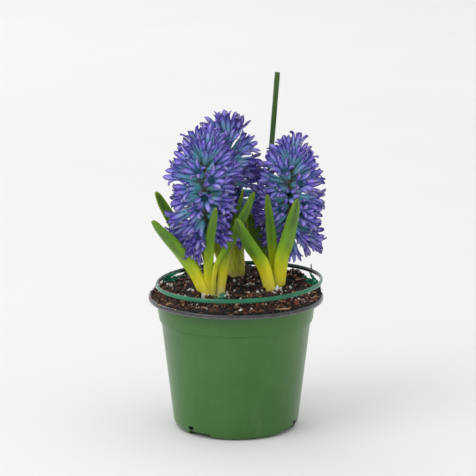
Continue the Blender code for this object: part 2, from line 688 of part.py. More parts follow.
def core_shape(plant):
    """The slim core of a flower head, round its axis, with the socket that the stalk stands in."""
    foot, top = (Vector(point) for point in plant["head"])
    length = (top - foot).length + CORE_BELOW + CORE_RADIUS
    socket = plant["stalk_radii"][1] + SOCKET_SLACK
    outline = [(0, SOCKET_DEPTH), (socket, SOCKET_DEPTH), (socket, 0), (CORE_FOOT_EDGE, 0),
               (CORE_RADIUS, CORE_FOOT_RISE)]
    outline += [(radius, length - below_top) for radius, below_top in CORE_SHOULDERS]
    built = turned(outline, CORE_SIDES)
    run = (top - foot).normalized()
    start = foot - run * CORE_BELOW
    built.transform(Matrix.Translation(start) @ run.to_track_quat("Z", "Y").to_matrix().to_4x4())
    return built


def fuse(target, helpers):
    """Joins a collection of shapes to an object, applies the join and removes the shapes."""
    modifier = target.modifiers.new("joined", "BOOLEAN")
    modifier.operation = "UNION"
    modifier.operand_type = "COLLECTION"
    modifier.collection = helpers
    with bpy.context.temp_override(object=target, active_object=target):
        bpy.ops.object.modifier_apply(modifier=modifier.name)
    for helper in list(helpers.objects):
        bpy.data.objects.remove(helper, do_unlink=True)
    bpy.data.collections.remove(helpers)
    keep_main_body(target)


def keep_main_body(target):
    """Drops the loose scraps and the sealed hollows that a join can leave."""
    built = bmesh.new()
    built.from_mesh(target.data)
    waiting = set(built.faces)
    islands = []
    while waiting:
        island = {waiting.pop()}
        edge_of_island = list(island)
        while edge_of_island:
            near = {other for edge in edge_of_island.pop().edges for other in edge.link_faces} & waiting
            waiting -= near
            island |= near
            edge_of_island += list(near)
        islands.append(island)
    largest = max(islands, key=len)
    spare = [face for island in islands if island is not largest for face in island]
    bmesh.ops.delete(built, geom=spare, context="FACES")
    built.to_mesh(target.data)
    built.free()


def make_flower_head(name, plant, obstacles):
    """A dense head of florets that stand out of a slim core, fused into one body."""
    head = add_object(f"flower_head_{name}", core_shape(plant), "petal_violet")
    florets = bpy.data.collections.new(f"florets_{name}")
    bpy.context.scene.collection.children.link(florets)
    shape = floret_shape()
    for place in floret_places(plant):
        matrix = clear_place(place, shape, obstacles)
        if matrix is None:
            continue
        mesh = bpy.data.meshes.new("floret")
        mesh.from_pydata([matrix @ corner for corner in shape[0]], [], shape[1])
        floret = as_helper(bpy.data.objects.new("floret", mesh))
        florets.objects.link(floret)
    fuse(head, florets)
    head.data.set_sharp_from_angle(angle=math.radians(40))
    return head


def surface_of(made):
    """The object's evaluated surface, for testing what would cross it."""
    bpy.context.view_layer.update()
    graph = bpy.context.evaluated_depsgraph_get()
    evaluated = made.evaluated_get(graph)
    mesh = evaluated.to_mesh()
    corners = [made.matrix_world @ corner.co for corner in mesh.vertices]
    faces = [tuple(face.vertices) for face in mesh.polygons]
    evaluated.to_mesh_clear()
    return BVHTree.FromPolygons(corners, faces)


clear_scene()
make_pot()
soil_face = surface_of(make_soil(pot_inside()))
make_hoop()
clip_draw = random.Random(5)
for clip_number, clip_angle in enumerate(CLIP_ANGLES, 1):
    make_clip(clip_number, clip_angle, soil_face, clip_draw)
in_the_way = [surface_of(make_stake())]
for plant_name, plant_facts in PLANTS.items():
    make_bulb(plant_name, plant_facts["centre"])
    in_the_way.append(surface_of(make_stalk(plant_name, plant_facts)))
for leaf_name, leaf_facts in LEAVES.items():
    in_the_way.append(surface_of(make_leaf(leaf_name, *leaf_facts)))
for plant_name, plant_facts in PLANTS.items():
    in_the_way.append(surface_of(make_flower_head(plant_name, plant_facts, in_the_way)))
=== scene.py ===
import math
import random

import bpy
from mathutils import Matrix, Vector, noise
from mathutils.bvhtree import BVHTree


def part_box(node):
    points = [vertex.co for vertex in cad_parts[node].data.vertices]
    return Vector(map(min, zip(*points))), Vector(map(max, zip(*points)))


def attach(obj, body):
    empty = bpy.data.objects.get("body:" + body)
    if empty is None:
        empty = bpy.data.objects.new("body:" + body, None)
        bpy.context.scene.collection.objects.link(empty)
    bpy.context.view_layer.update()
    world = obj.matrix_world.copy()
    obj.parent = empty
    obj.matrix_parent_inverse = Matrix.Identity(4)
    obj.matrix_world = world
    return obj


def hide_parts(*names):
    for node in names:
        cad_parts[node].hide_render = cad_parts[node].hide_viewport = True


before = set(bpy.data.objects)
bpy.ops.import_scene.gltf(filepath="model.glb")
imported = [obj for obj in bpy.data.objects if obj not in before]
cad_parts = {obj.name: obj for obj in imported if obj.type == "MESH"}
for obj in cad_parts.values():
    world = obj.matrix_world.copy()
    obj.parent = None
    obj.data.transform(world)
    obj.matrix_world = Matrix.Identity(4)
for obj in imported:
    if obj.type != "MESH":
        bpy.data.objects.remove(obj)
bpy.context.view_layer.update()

bpy.ops.object.select_all(action="DESELECT")


# Pot: one thin-walled nursery pot, moulded in plastic that is green outside and dark grey inside.
# The wall steps out to a collar under the rolled lip, where the grey shows, and the foot ring has
# four notches with a drain slot over each.
POT_SIDES = 160
POT_WALL = 0.0012
COLLAR_TOP = (0.0750, 0.1205)
COLLAR_FOOT = (0.0723, 0.1042)
BODY_TOP = (0.0705, 0.1030)
BODY_FOOT = (0.0598, 0.0105)
FOOT_RING = (0.0492, 0.0524)
POT_FLOOR = (0.0066, 0.0080)
LIP_FOOT = 0.1228
NOTCH_ANGLES = (-127, -30, 53, 150)
NOTCH_WIDTHS = (0.031, 0.024)
NOTCH_HEIGHT = 0.0050
NOTCH_SPAN = (0.046, 0.066)
DRAIN_SLOT = (0.009, 0.006, 0.0034)
DRAIN_SLOT_PLACE = (0.0592, 0, 0.0078)
DRAIN_SLOT_TURN = 8
POT_GREEN = (62, 112, 44)
POT_GREEN_DEEP = (52, 98, 38)
POT_GREY = (40, 41, 44)
POT_DUST = (150, 150, 135)
POT_SCUFF = (92, 92, 95)
# Pale grey of the painted highlight along the lower edge of the lip.
LIP_HIGHLIGHT_GREY = (130, 130, 136)
SOIL_DUST = (70, 52, 42)
rim_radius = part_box("pot")[1].x
pot_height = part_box("pot")[1].z


def colour(red, green, blue):
    """A screen colour from 0 to 255 as the linear colour that a shader takes."""
    shares = (value / 255 for value in (red, green, blue))
    linear = (share / 12.92 if share <= 0.04045 else ((share + 0.055) / 1.055) ** 2.4 for share in shares)
    return (*linear, 1)


def rounded(start, corner, end, steps=6):
    """Points along a smooth bend from one outline point to another, drawn towards the corner between."""
    shares = [step / steps for step in range(steps + 1)]
    return [tuple((1 - t) ** 2 * a + 2 * t * (1 - t) * b + t ** 2 * c
                  for a, b, c in zip(start, corner, end)) for t in shares]


def carried_through(outline):
    """Extrudes and resizes the selected circle through an outline of radii and heights."""
    for (radius, height), (next_radius, next_height) in zip(outline, outline[1:]):
        bpy.ops.mesh.extrude_edges_move(TRANSFORM_OT_translate={"value": (0, 0, next_height - height)})
        grow = next_radius / radius
        bpy.ops.transform.resize(value=(grow, grow, 1), center_override=(0, 0, 0))


def turned_piece(name, outline, sides):
    """A closed round piece: a circle carried through an outline of radii and heights."""
    radius, height = outline[0]
    bpy.ops.mesh.primitive_circle_add(vertices=sides, radius=radius, location=(0, 0, height))
    piece = bpy.context.object
    piece.name = piece.data.name = name
    bpy.ops.object.transform_apply()
    bpy.ops.object.mode_set(mode="EDIT")
    carried_through(outline)
    bpy.ops.mesh.select_all(action="SELECT")
    bpy.ops.mesh.fill_holes(sides=0)
    bpy.ops.mesh.normals_make_consistent(inside=False)
    bpy.ops.object.mode_set(mode="OBJECT")
    return piece


def modify(piece, kind, **settings):
    """Adds a modifier to a piece and applies it."""
    modifier = piece.modifiers.new(kind.lower(), kind)
    for setting, value in settings.items():
        setattr(modifier, setting, value)
    bpy.context.view_layer.objects.active = piece
    bpy.ops.object.modifier_apply(modifier=modifier.name)


def smooth(piece, degrees):
    """Shades a piece smooth, apart from edges sharper than the given angle."""
    bpy.ops.object.select_all(action="DESELECT")
    piece.select_set(True)
    bpy.context.view_layer.objects.active = piece
    bpy.ops.object.shade_smooth_by_angle(angle=math.radians(degrees))
    piece.select_set(False)


def cut_with_box(piece, size, place, turn, top_share=1.0):
    """Cuts a block out of a piece, narrowed towards its top and turned about the upright axis."""
    bpy.ops.mesh.primitive_cube_add(size=1, location=place)
    cutter = bpy.context.object
    cutter.scale = size
    bpy.ops.object.transform_apply()
    for corner in cutter.data.vertices:
        if corner.co.z > place[2]:
            corner.co.y *= top_share
    cutter.data.transform(Matrix.Rotation(math.radians(turn), 4, "Z"))
    modify(piece, "BOOLEAN", operation="DIFFERENCE", object=cutter)
    bpy.data.objects.remove(cutter, do_unlink=True)


def new_surface(name, **fixed):
    """A material whose shader has the given fixed socket values, and its node tree."""
    material = bpy.data.materials.new(name)
    material.use_nodes = True
    shader = material.node_tree.nodes["Principled BSDF"]
    for socket, value in fixed.items():
        shader.inputs[socket.replace("_", " ")].default_value = value
    return material, material.node_tree


def add_node(tree, kind, sockets, **settings):
    """A shader node with its settings made and each named socket linked or set."""
    made = tree.nodes.new(kind)
    for setting, value in settings.items():
        setattr(made, setting, value)
    for socket, value in sockets.items():
        if isinstance(value, bpy.types.NodeSocket):
            tree.links.new(value, made.inputs[socket])
        else:
            made.inputs[socket].default_value = value
    return made


def coordinates(tree, kind="Object"):
    """A piece's own coordinates in a material."""
    return add_node(tree, "ShaderNodeTexCoord", {}).outputs[kind]


def axes(tree, kind="Object"):
    """The same coordinates, axis by axis."""
    return add_node(tree, "ShaderNodeSeparateXYZ", {"Vector": coordinates(tree, kind)}).outputs


def between(tree, value, start, end, low=0.0, high=1.0):
    """Numbers that go from low to high as a value goes from start to end."""
    sockets = {"Value": value, "From Min": start, "From Max": end, "To Min": low, "To Max": high}
    return add_node(tree, "ShaderNodeMapRange", sockets).outputs[0]


def patches_group():
    """Cloudy patches: a soft mask from noise of a given size, stretched along the upright axis."""
    group = bpy.data.node_groups.new("patches", "ShaderNodeTree")
    group.interface.new_socket("Place", in_out="INPUT", socket_type="NodeSocketVector")
    for socket in ("Scale", "Stretch", "Low", "High"):
        group.interface.new_socket(socket, in_out="INPUT", socket_type="NodeSocketFloat")
    group.interface.new_socket("Mask", in_out="OUTPUT", socket_type="NodeSocketFloat")
    given = group.nodes.new("NodeGroupInput").outputs
    stretch = add_node(group, "ShaderNodeCombineXYZ", {"X": 1.0, "Y": 1.0, "Z": given["Stretch"]}).outputs[0]
    place = add_node(group, "ShaderNodeVectorMath", {0: given["Place"], 1: stretch}, operation="MULTIPLY")
    cloud = add_node(group, "ShaderNodeTexNoise", {"Vector": place.outputs[0], "Scale": given["Scale"],
                                                   "Detail": 5.0}).outputs["Fac"]
    add_node(group, "NodeGroupOutput", {"Mask": between(group, cloud, given["Low"], given["High"])})
    return group


def patches(tree, scale, low=0.35, high=0.65, stretch=1.0):
    """The mask of cloudy patches in a material, by the object's own coordinates."""
    sockets = {"Place": coordinates(tree), "Scale": scale, "Stretch": stretch, "Low": low, "High": high}
    return add_node(tree, "ShaderNodeGroup", sockets, node_tree=PATCHES).outputs["Mask"]


def calculated(tree, operation, first, second=0.5):
    """The result of one sum."""
    return add_node(tree, "ShaderNodeMath", {0: first, 1: second}, operation=operation).outputs[0]


def multiplied(tree, first, *factors):
    """A mask times other masks and numbers."""
    for factor in factors:
        first = calculated(tree, "MULTIPLY", first, factor)
    return first


def off_middle(tree, value, middle=0.5):
    """How far a value is from a middle one."""
    return calculated(tree, "ABSOLUTE", calculated(tree, "SUBTRACT", value, middle))


def mixed(tree, mask, first, second, share=1.0):
    """A mix of two screen colours or sockets: the first where the mask is 0, the second up to its share."""
    ends = [end if isinstance(end, bpy.types.NodeSocket) else colour(*end) for end in (first, second)]
    mask = mask if share == 1.0 else multiplied(tree, mask, share)
    return add_node(tree, "ShaderNodeMix", {0: mask, 6: ends[0], 7: ends[1]}, data_type="RGBA").outputs[2]


def ranged(tree, mask, low, high):
    """A mask turned into numbers between two values."""
    return between(tree, mask, 0.0, 1.0, low, high)


def bumped(tree, height, distance, under=None):
    """A normal raised by a height of up to the given distance, over another bump."""
    sockets = {"Height": height, "Distance": distance}
    if under:
        sockets["Normal"] = under
    return add_node(tree, "ShaderNodeBump", sockets).outputs[0]


def grained(tree, scale, distance, under=None, stretch=1.0):
    """A normal with a fine or wavy grain, over another bump."""
    return bumped(tree, patches(tree, scale, 0.2, 0.8, stretch), distance, under)


def coat(tree, **sockets):
    """Links varying colours, masks and normals to the material's shader."""
    shader = tree.nodes["Principled BSDF"]
    for socket, source in sockets.items():
        tree.links.new(source, shader.inputs[socket.replace("_", " ")])


PATCHES = patches_group()


def pot_outline():
    """Radii and heights from the middle of the underside, up the outside, over the lip and back down."""
    inner, outer = FOOT_RING
    under, floor = POT_FLOOR
    return [
        (0.003, under), (inner - 0.0006, under), (inner, 0.0), (outer, 0.0),
        *rounded((outer, 0.0), (0.0592, 0.0006), BODY_FOOT)[1:],
        BODY_TOP, (0.0718, 0.1034), (0.0724, 0.1038), (0.0725, 0.1045), COLLAR_TOP, (0.0755, 0.1250),
        (0.0770, 0.1258), (0.0808, 0.1256),
        *rounded((0.0811, 0.1232), (0.0818, 0.1216), (rim_radius, 0.1234), 5),
        *rounded((rim_radius, 0.1250), (rim_radius, pot_height), (0.0798, pot_height), 6),
        (0.0772, pot_height), (0.0750, 0.1258), (0.0744, 0.1240),
        (COLLAR_TOP[0] - POT_WALL, COLLAR_TOP[1]), (COLLAR_FOOT[0] - POT_WALL, COLLAR_FOOT[1] + 0.0006),
        (BODY_TOP[0] - POT_WALL, BODY_TOP[1]), (BODY_FOOT[0] - POT_WALL, BODY_FOOT[1]),
        (0.0562, floor), (0.003, floor),
    ]


def green_plastic():
    """Glossy green plastic with a faint flow of the moulding, scuffs and dust."""
    material, tree = new_surface("pot_green", Specular_IOR_Level=0.4, Coat_Roughness=0.25)
    green = mixed(tree, patches(tree, 14, 0.3, 0.7), POT_GREEN, POT_GREEN_DEEP)
    dust = patches(tree, 95, 0.56, 0.85, 0.35)
    scuffs = patches(tree, 420, 0.62, 0.72, 6.0)
    coat(tree, Base_Color=mixed(tree, dust, green, POT_DUST, 0.10),
         Roughness=ranged(tree, calculated(tree, "MAXIMUM", dust, scuffs), 0.30, 0.52),
         Coat_Weight=ranged(tree, dust, 0.12, 0.02),
         Normal=grained(tree, 1600, 0.00004, grained(tree, 30, 0.0006, stretch=0.4)))
    return material


def grey_plastic():
    """The dark grey recycled plastic of the lip and the inside, scuffed and dusty, with a painted highlight:
    a paler band along the lower edge of the roll, broken up by the scuff patches.
    """
    material, tree = new_surface("pot_grey", Specular_IOR_Level=0.4, Coat_Weight=0.5, Coat_Roughness=0.2)
    scuffs = patches(tree, 130, 0.45, 0.75, 0.5)
    grey = mixed(tree, scuffs, POT_GREY, POT_SCUFF, 0.35)
    # Painted highlight: a pale grey band just above the foot of the lip, shown only where the scuff patches
    # let it through.
    off_edge = off_middle(tree, axes(tree)["Z"], LIP_FOOT + 0.0008)
    painted_lip_highlight = multiplied(tree, between(tree, off_edge, 0.0008, 0.0003), ranged(tree, scuffs, 0.28, 0.42))
    edged = mixed(tree, painted_lip_highlight, grey, LIP_HIGHLIGHT_GREY)
    dusty = mixed(tree, patches(tree, 300, 0.58, 0.70), edged, SOIL_DUST, 0.5)
    coat(tree, Base_Color=dusty, Roughness=ranged(tree, scuffs, 0.24, 0.42),
         Normal=grained(tree, 900, 0.00006))
    return material


pot = turned_piece("nursery_pot", pot_outline(), POT_SIDES)
for notch_number, notch_angle in enumerate(NOTCH_ANGLES):
    cut_with_box(pot, (NOTCH_SPAN[1] - NOTCH_SPAN[0], NOTCH_WIDTHS[0], 2 * NOTCH_HEIGHT),
                 (sum(NOTCH_SPAN) / 2, 0, 0), notch_angle, NOTCH_WIDTHS[1] / NOTCH_WIDTHS[0])
    slot_turn = notch_angle + DRAIN_SLOT_TURN * (1 if notch_number % 2 else -1)
    cut_with_box(pot, DRAIN_SLOT, DRAIN_SLOT_PLACE, slot_turn)
modify(pot, "BEVEL", width=0.00035, segments=2, limit_method="ANGLE", angle_limit=math.radians(40))
smooth(pot, 40)
pot.data.materials.append(green_plastic())
pot.data.materials.append(grey_plastic())
for wall_face in pot.data.polygons:
    outwards = wall_face.normal.dot(Vector((wall_face.center.x, wall_face.center.y, 0)).normalized())
    on_green_side = outwards > 0.05 or wall_face.normal.z < -0.3
    wall_face.material_index = 0 if on_green_side and wall_face.center.z < LIP_FOOT else 1
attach(pot, "root")
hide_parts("pot")


# Potting mix: peat, bark and perlite, filled to the brim and mounded, with crumbs spilt on the lip.
# The body is one relief; clods, crumbs, perlite, bark chips and root fibres lie on it as pieces.
SOIL_SIDES = 300
SOIL_SLACK = 0.0003
SOIL_EDGE = (0.0802, 0.1275)
SOIL_PROFILE = ((0.0802, 0.1283), (0.0775, 0.1300), (0.0725, 0.1330), (0.0675, 0.1362), (0.0550, 0.1384),
                (0.0300, 0.1390), (0.0012, 0.1390))
SOIL_RING_STEP = 0.0011
SOIL_TILT = 0.022
SOIL_LUMP_HEIGHT = 0.0026
SOIL_STEP_HEIGHT = 0.0017
SOIL_TONES = (0.12, 0.17)
MOUND_REACH = 0.078
RAGGED_EDGE = (0.066, 0.0807)
CRUMB_COUNT = 5200
CRUMB_SIZES = (0.0006, 0.0021)
MOSTLY_SMALL = 1.8
SOIL_MOUNDS = ((0.0605, 0.0330, 0.012, 0.0045), (0.0060, 0.0600, 0.008, 0.0050),
               (-0.055, 0.026, 0.016, -0.0022), (0.020, -0.0600, 0.012, -0.0012),
               (-0.0500, -0.0440, 0.012, 0.0012), (-0.0170, -0.0520, 0.012, -0.0026),
               (0.0455, -0.0330, 0.007, 0.0030), (-0.0180, -0.0745, 0.007, 0.0084),
               (0.0780, -0.0205, 0.005, 0.0016), (0.0770, -0.0095, 0.007, 0.0080))


def profile_height(radius):
    """Height of the even mound at a distance from the middle."""
    for (outer, low), (inner, high) in zip(SOIL_PROFILE, SOIL_PROFILE[1:]):
        if radius >= inner:
            share = min((outer - radius) / (outer - inner), 1.0)
            return low + (high - low) * share
    return SOIL_PROFILE[-1][1]


def soil_clods(x, y):
    """Height of the lumps and clods at a place, about nought."""
    lumps = SOIL_LUMP_HEIGHT * noise.fractal(Vector((x, y, 0)) * 85, 0.6, 2.1, 4)
    return lumps + SOIL_STEP_HEIGHT * (noise.cell(Vector((x * 290, y * 290, 3))) - 0.5)


def soil_relief(x, y):
    """How far the heaped soil lies over or under the even mound."""
    tilt = SOIL_TILT * (x + 0.6 * y) * min(math.hypot(x, y) / 0.07, 1.0)
    heaps = sum(rise * math.exp(-((x - east) ** 2 + (y - north) ** 2) / reach ** 2)
                for east, north, reach, rise in SOIL_MOUNDS)
    return tilt + heaps + soil_clods(x, y)


def soil_outline():
    """Radii and heights up the inside of the pot, out over the lip and in again across the mound."""
    inside = [(radius - SOIL_SLACK, height + SOIL_SLACK) for radius, height in reversed(pot_outline()[-9:-1])]
    outline = [(0.003, POT_FLOOR[1] + SOIL_SLACK), *inside,
               (SOIL_EDGE[0] - 0.002, pot_height + SOIL_SLACK), SOIL_EDGE]
    radius = SOIL_PROFILE[0][0]
    while radius > SOIL_PROFILE[-1][0]:
        outline.append((radius, profile_height(radius)))
        radius -= SOIL_RING_STEP
    return outline + [SOIL_PROFILE[-1]]


def own_tone(tree):
    """The tone that each small piece or floret carries on its mesh."""
    return add_node(tree, "ShaderNodeAttribute", {}, attribute_name="tone").outputs["Fac"]


def ramped(tree, value, first, *stops, last):
    """A colour that runs from the first screen colour through the stops to the last as a value goes up."""
    ramp = add_node(tree, "ShaderNodeValToRGB", {"Fac": value})
    ramp.color_ramp.elements[0].color = colour(*first)
    ramp.color_ramp.elements[1].color = colour(*last)
    for share, tint in stops:
        ramp.color_ramp.elements.new(share).color = colour(*tint)
    return ramp.outputs["Color"]


def damp_peat():
    """Crumbly organic stuff, from near-black peat to red-brown bark and straw, by each crumb's own tone."""
    material, tree = new_surface("potting_mix", Specular_IOR_Level=0.5)
    blotches = patches(tree, 480, 0.3, 0.7)
    tone = calculated(tree, "ADD", own_tone(tree), ranged(tree, blotches, -0.16, 0.18))
    peat = ramped(tree, tone, (16, 10, 9), (0.24, (28, 16, 13)), (0.44, (72, 37, 28)), (0.62, (136, 66, 47)),
                  (0.80, (198, 140, 100)), last=(214, 178, 138))
    coat(tree, Base_Color=peat, Roughness=ranged(tree, blotches, 0.40, 0.95),
         Normal=grained(tree, 5200, 0.0003, grained(tree, 1500, 0.0006)))
    return material


PEAT = damp_peat()

soil = turned_piece("soil_body", soil_outline(), SOIL_SIDES)
soil_tones = []
for corner in soil.data.vertices:
    x, y, height = corner.co
    ring = math.hypot(x, y)
    tone, tone_on_top = SOIL_TONES
    if height > SOIL_EDGE[1] + SOIL_SLACK and ring < SOIL_EDGE[0] + SOIL_SLACK:
        calm = min(1.0, 0.25 + (SOIL_EDGE[0] - ring) / 0.010)
        corner.co.z = max(height + calm * soil_relief(x, y), SOIL_EDGE[1] + SOIL_SLACK)
        tone = tone_on_top + max(-0.2, min(0.4, 140 * soil_clods(x, y)))
    if ring > SOIL_EDGE[0] - 0.0025 and corner.co.z > pot_height:
        corner.co.xy *= 1 + 0.010 * noise.noise(Vector((x, y, 0)) * 160)
    soil_tones.append(tone)
smooth(soil, 60)
soil.data.materials.append(PEAT)
soil.data.attributes.new("tone", "FLOAT", "POINT").data.foreach_set("value", soil_tones)
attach(soil, "root")
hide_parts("soil")


def surface_of(piece):
    """A piece's surface, for finding what lies on it or crosses it."""
    corners = [corner.co.copy() for corner in piece.data.vertices]
    return BVHTree.FromPolygons(corners, [tuple(face.vertices) for face in piece.data.polygons])


def soil_height(x, y):
    """Height of the soil at a place, or of the round lip beyond the soil's edge."""
    hit = soil_surface.ray_cast(Vector((x, y, 0.2)), Vector((0, 0, -1)))[0]
    return hit.z if hit else pot_height - 300 * max(math.hypot(x, y) - 0.0798, 0) ** 2


def lump_model(name, draw, sides, roughness):
    """One small angular lump of about unit size, knocked out of round."""
    bpy.ops.mesh.primitive_uv_sphere_add(segments=sides, ring_count=sides // 2 + 1, radius=0.5)
    lump = bpy.context.object
    lump.name = name
    offset = Vector((draw.random(), draw.random(), draw.random())) * 40
    for corner in lump.data.vertices:
        corner.co *= 1 + roughness * noise.noise(corner.co * 2.6 + offset)
    return lump


def joined(name, pieces):
    """Several pieces made into one, under a new name."""
    bpy.ops.object.select_all(action="DESELECT")
    for piece in pieces:
        piece.select_set(True)
    bpy.context.view_layer.objects.active = pieces[-1]
    bpy.ops.object.join()
    whole = bpy.context.object
    whole.name = whole.data.name = name
    whole.select_set(False)
    return whole


def strewn(name, models, places, tones, material):
    """Copies models to their places, each with its own mesh and tone, and joins them into one piece."""
    copies = []
    for number, (place, tone) in enumerate(zip(places, tones)):
        mesh = models[number % len(models)].data.copy()
        mesh.transform(place)
        own = mesh.attributes.new("tone", "FLOAT", "POINT")
        own.data.foreach_set("value", [tone] * len(mesh.vertices))
        copies.append(bpy.data.objects.new(name, mesh))
        bpy.context.collection.objects.link(copies[-1])
    whole = joined(name, copies)
    whole.data.materials.append(material)
    for model in models:
        bpy.data.objects.remove(model, do_unlink=True)
    return whole


def lying(x, y, turn, tip, size, sunk):
    """Matrix that lays a small thing on the soil, turned, tipped, sized and sunk a little."""
    lift = Matrix.Translation((x, y, soil_height(x, y) - sunk))
    return lift @ Matrix.Rotation(turn, 4, "Z") @ Matrix.Rotation(tip, 4, "X") @ Matrix.Diagonal((*size, 1))


def on_mound(draw, edge_share=0.0):
    """A random place on the mound. The edge share is how many of them fall near the ragged edge."""
    angle = draw.uniform(0, 2 * math.pi)
    spill = 0.0008 * math.cos(angle - math.radians(190))
    spill += 0.0010 * math.sin(5 * angle) * math.sin(13 * angle + 1)
    if draw.random() < edge_share:
        radius = draw.uniform(RAGGED_EDGE[0], RAGGED_EDGE[1] + spill)
    else:
        radius = MOUND_REACH * math.sqrt(draw.random())
    return radius * math.cos(angle), radius * math.sin(angle)


def crumb_tone(draw, palest):
    """A crumb's tone: mostly dark peat, some red-brown bark and now and then a paler bit."""
    return draw.choice((draw.uniform(0.0, 0.12), draw.uniform(0.0, 0.26), draw.uniform(0.1, 0.5),
                        draw.uniform(0.3, 0.9 * palest), draw.uniform(0.6, 1.05) * palest))


def scattered(draw, count, sizes, edge_share, palest):
    """Places and tones for crumbs of mixed sizes lying all over the mound."""
    places = []
    for _ in range(count):
        x, y = on_mound(draw, edge_share)
        across = sizes[0] + (sizes[1] - sizes[0]) * draw.random() ** MOSTLY_SMALL
        size = [across * draw.uniform(0.6, 1.4) for _ in range(3)]
        places.append(lying(x, y, draw.uniform(0, 6.3), draw.uniform(-0.8, 0.8), size, across * 0.12))
    return places, [crumb_tone(draw, palest) for _ in places]


soil_surface = surface_of(soil)
crumb_draw = random.Random(3)
crumb_models = [lump_model("crumb", crumb_draw, sides=5, roughness=0.9) for _ in range(6)]
crumb_places, crumb_tones = scattered(crumb_draw, CRUMB_COUNT, CRUMB_SIZES, edge_share=0.42, palest=0.90)
crumbs = strewn("peat_crumbs", crumb_models, crumb_places, crumb_tones, PEAT)
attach(crumbs, "root")

# Clods: larger lumps where peat and bark have caked together, lying loose on the mix.
CLOD_COUNT = 620
CLOD_SIZES = (0.0018, 0.0050)
clod_draw = random.Random(14)
clod_models = [lump_model("clod", clod_draw, sides=8, roughness=1.1) for _ in range(6)]
clod_places, clod_tones = scattered(clod_draw, CLOD_COUNT, CLOD_SIZES, edge_share=0.34, palest=0.62)
clods = strewn("peat_clods", clod_models, clod_places, clod_tones, PEAT)
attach(clods, "root")

# Perlite: white popped volcanic glass, in rounded grains that lie half buried in the peat, some of
# them in clumps. The large grains in front are placed where the photograph shows them.
PERLITE_COUNT = 170
PERLITE_SPOTS = ((0.0385, -0.0362, 0.0054), (0.0412, -0.0372, 0.0034), (-0.0300, -0.0478, 0.0042),
                 (-0.0103, -0.0470, 0.0030), (-0.0014, -0.0365, 0.0022), (0.0115, -0.0392, 0.0028),
                 (0.0027, -0.0155, 0.0022), (0.0131, -0.0139, 0.0024), (0.0150, -0.0110, 0.0022),
                 (0.0169, -0.0051, 0.0026), (0.0213, 0.0022, 0.0022), (-0.0608, -0.0034, 0.0032),
                 (-0.0472, 0.0043, 0.0024), (-0.0177, -0.0709, 0.0028), (0.0044, -0.0760, 0.0032),
                 (0.0261, -0.0590, 0.0026), (0.0516, -0.0466, 0.0022), (0.0581, -0.0419, 0.0022),
                 (0.0600, -0.0470, 0.0024))


def perlite_white():
    """Chalky white foam with pores, stained brown by the peat here and there."""
    material, tree = new_surface("perlite", Roughness=0.85, Subsurface_Weight=0.10,
                                 Subsurface_Radius=(0.002, 0.002, 0.002), Subsurface_Scale=0.5)
    coat(tree, Base_Color=mixed(tree, patches(tree, 330, 0.56, 0.80), (255, 255, 252), (226, 198, 166)),
         Normal=bumped(tree, patches(tree, 3000, 0.3, 0.7), 0.0005))
    return material


perlite_draw = random.Random(8)
perlite_models = [lump_model("grain", perlite_draw, sides=8, roughness=1.0) for _ in range(5)]
grain_spots = list(PERLITE_SPOTS)
for grain_x, grain_y, across in PERLITE_SPOTS:
    for _ in range(3):
        grain_spots.append((grain_x + perlite_draw.uniform(-0.005, 0.005),
                            grain_y + perlite_draw.uniform(-0.007, 0.007),
                            across * perlite_draw.uniform(0.25, 0.5)))
for _ in range(PERLITE_COUNT):
    grain_spots.append((*on_mound(perlite_draw, 0.15), 0.0008 + 0.0021 * perlite_draw.random() ** 2))
perlite_places = []
for grain_x, grain_y, across in grain_spots:
    grain_size = [across * perlite_draw.uniform(0.7, 1.25) for _ in range(3)]
    grain_turn = perlite_draw.uniform(0, 6.3)
    perlite_places.append(lying(grain_x, grain_y, grain_turn, perlite_draw.uniform(-0.5, 0.5), grain_size,
                                -across * 0.32))
perlite_tones = [0.5] * len(perlite_places)
perlite = strewn("perlite_grains", perlite_models, perlite_places, perlite_tones, perlite_white())
smooth(perlite, 30)
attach(perlite, "root")

# Bark chips and splinters: flat shreds of softwood bark, red-brown to straw-coloured, lying flat.
CHIP_COUNT = 420
CHIP_LENGTHS = (0.0018, 0.0078)
CHIP_SPOTS = ((-0.0295, -0.0700, 42, 0.0066), (-0.0292, -0.0702, -48, 0.0066), (0.0425, -0.0672, 8, 0.0125),
              (0.0385, -0.0668, 62, 0.0060), (0.0445, -0.0655, -22, 0.0080), (0.0008, -0.0730, 20, 0.0060))


def chip_model(draw):
    """A shred of bark of unit length: a flat splinter with ragged ends."""
    bpy.ops.mesh.primitive_cube_add(size=1)
    chip = bpy.context.object
    bpy.ops.object.mode_set(mode="EDIT")
    bpy.ops.mesh.subdivide(number_cuts=1)
    bpy.ops.object.mode_set(mode="OBJECT")
    for corner in chip.data.vertices:
        taper = 1 - 1.1 * abs(corner.co.x) ** 2
        corner.co.y *= taper * draw.uniform(0.7, 1.2)
        corner.co.z *= taper * draw.uniform(0.6, 1.2)
        corner.co.x += draw.uniform(-0.08, 0.08)
        corner.co.z += 0.35 * corner.co.x ** 2
    return chip


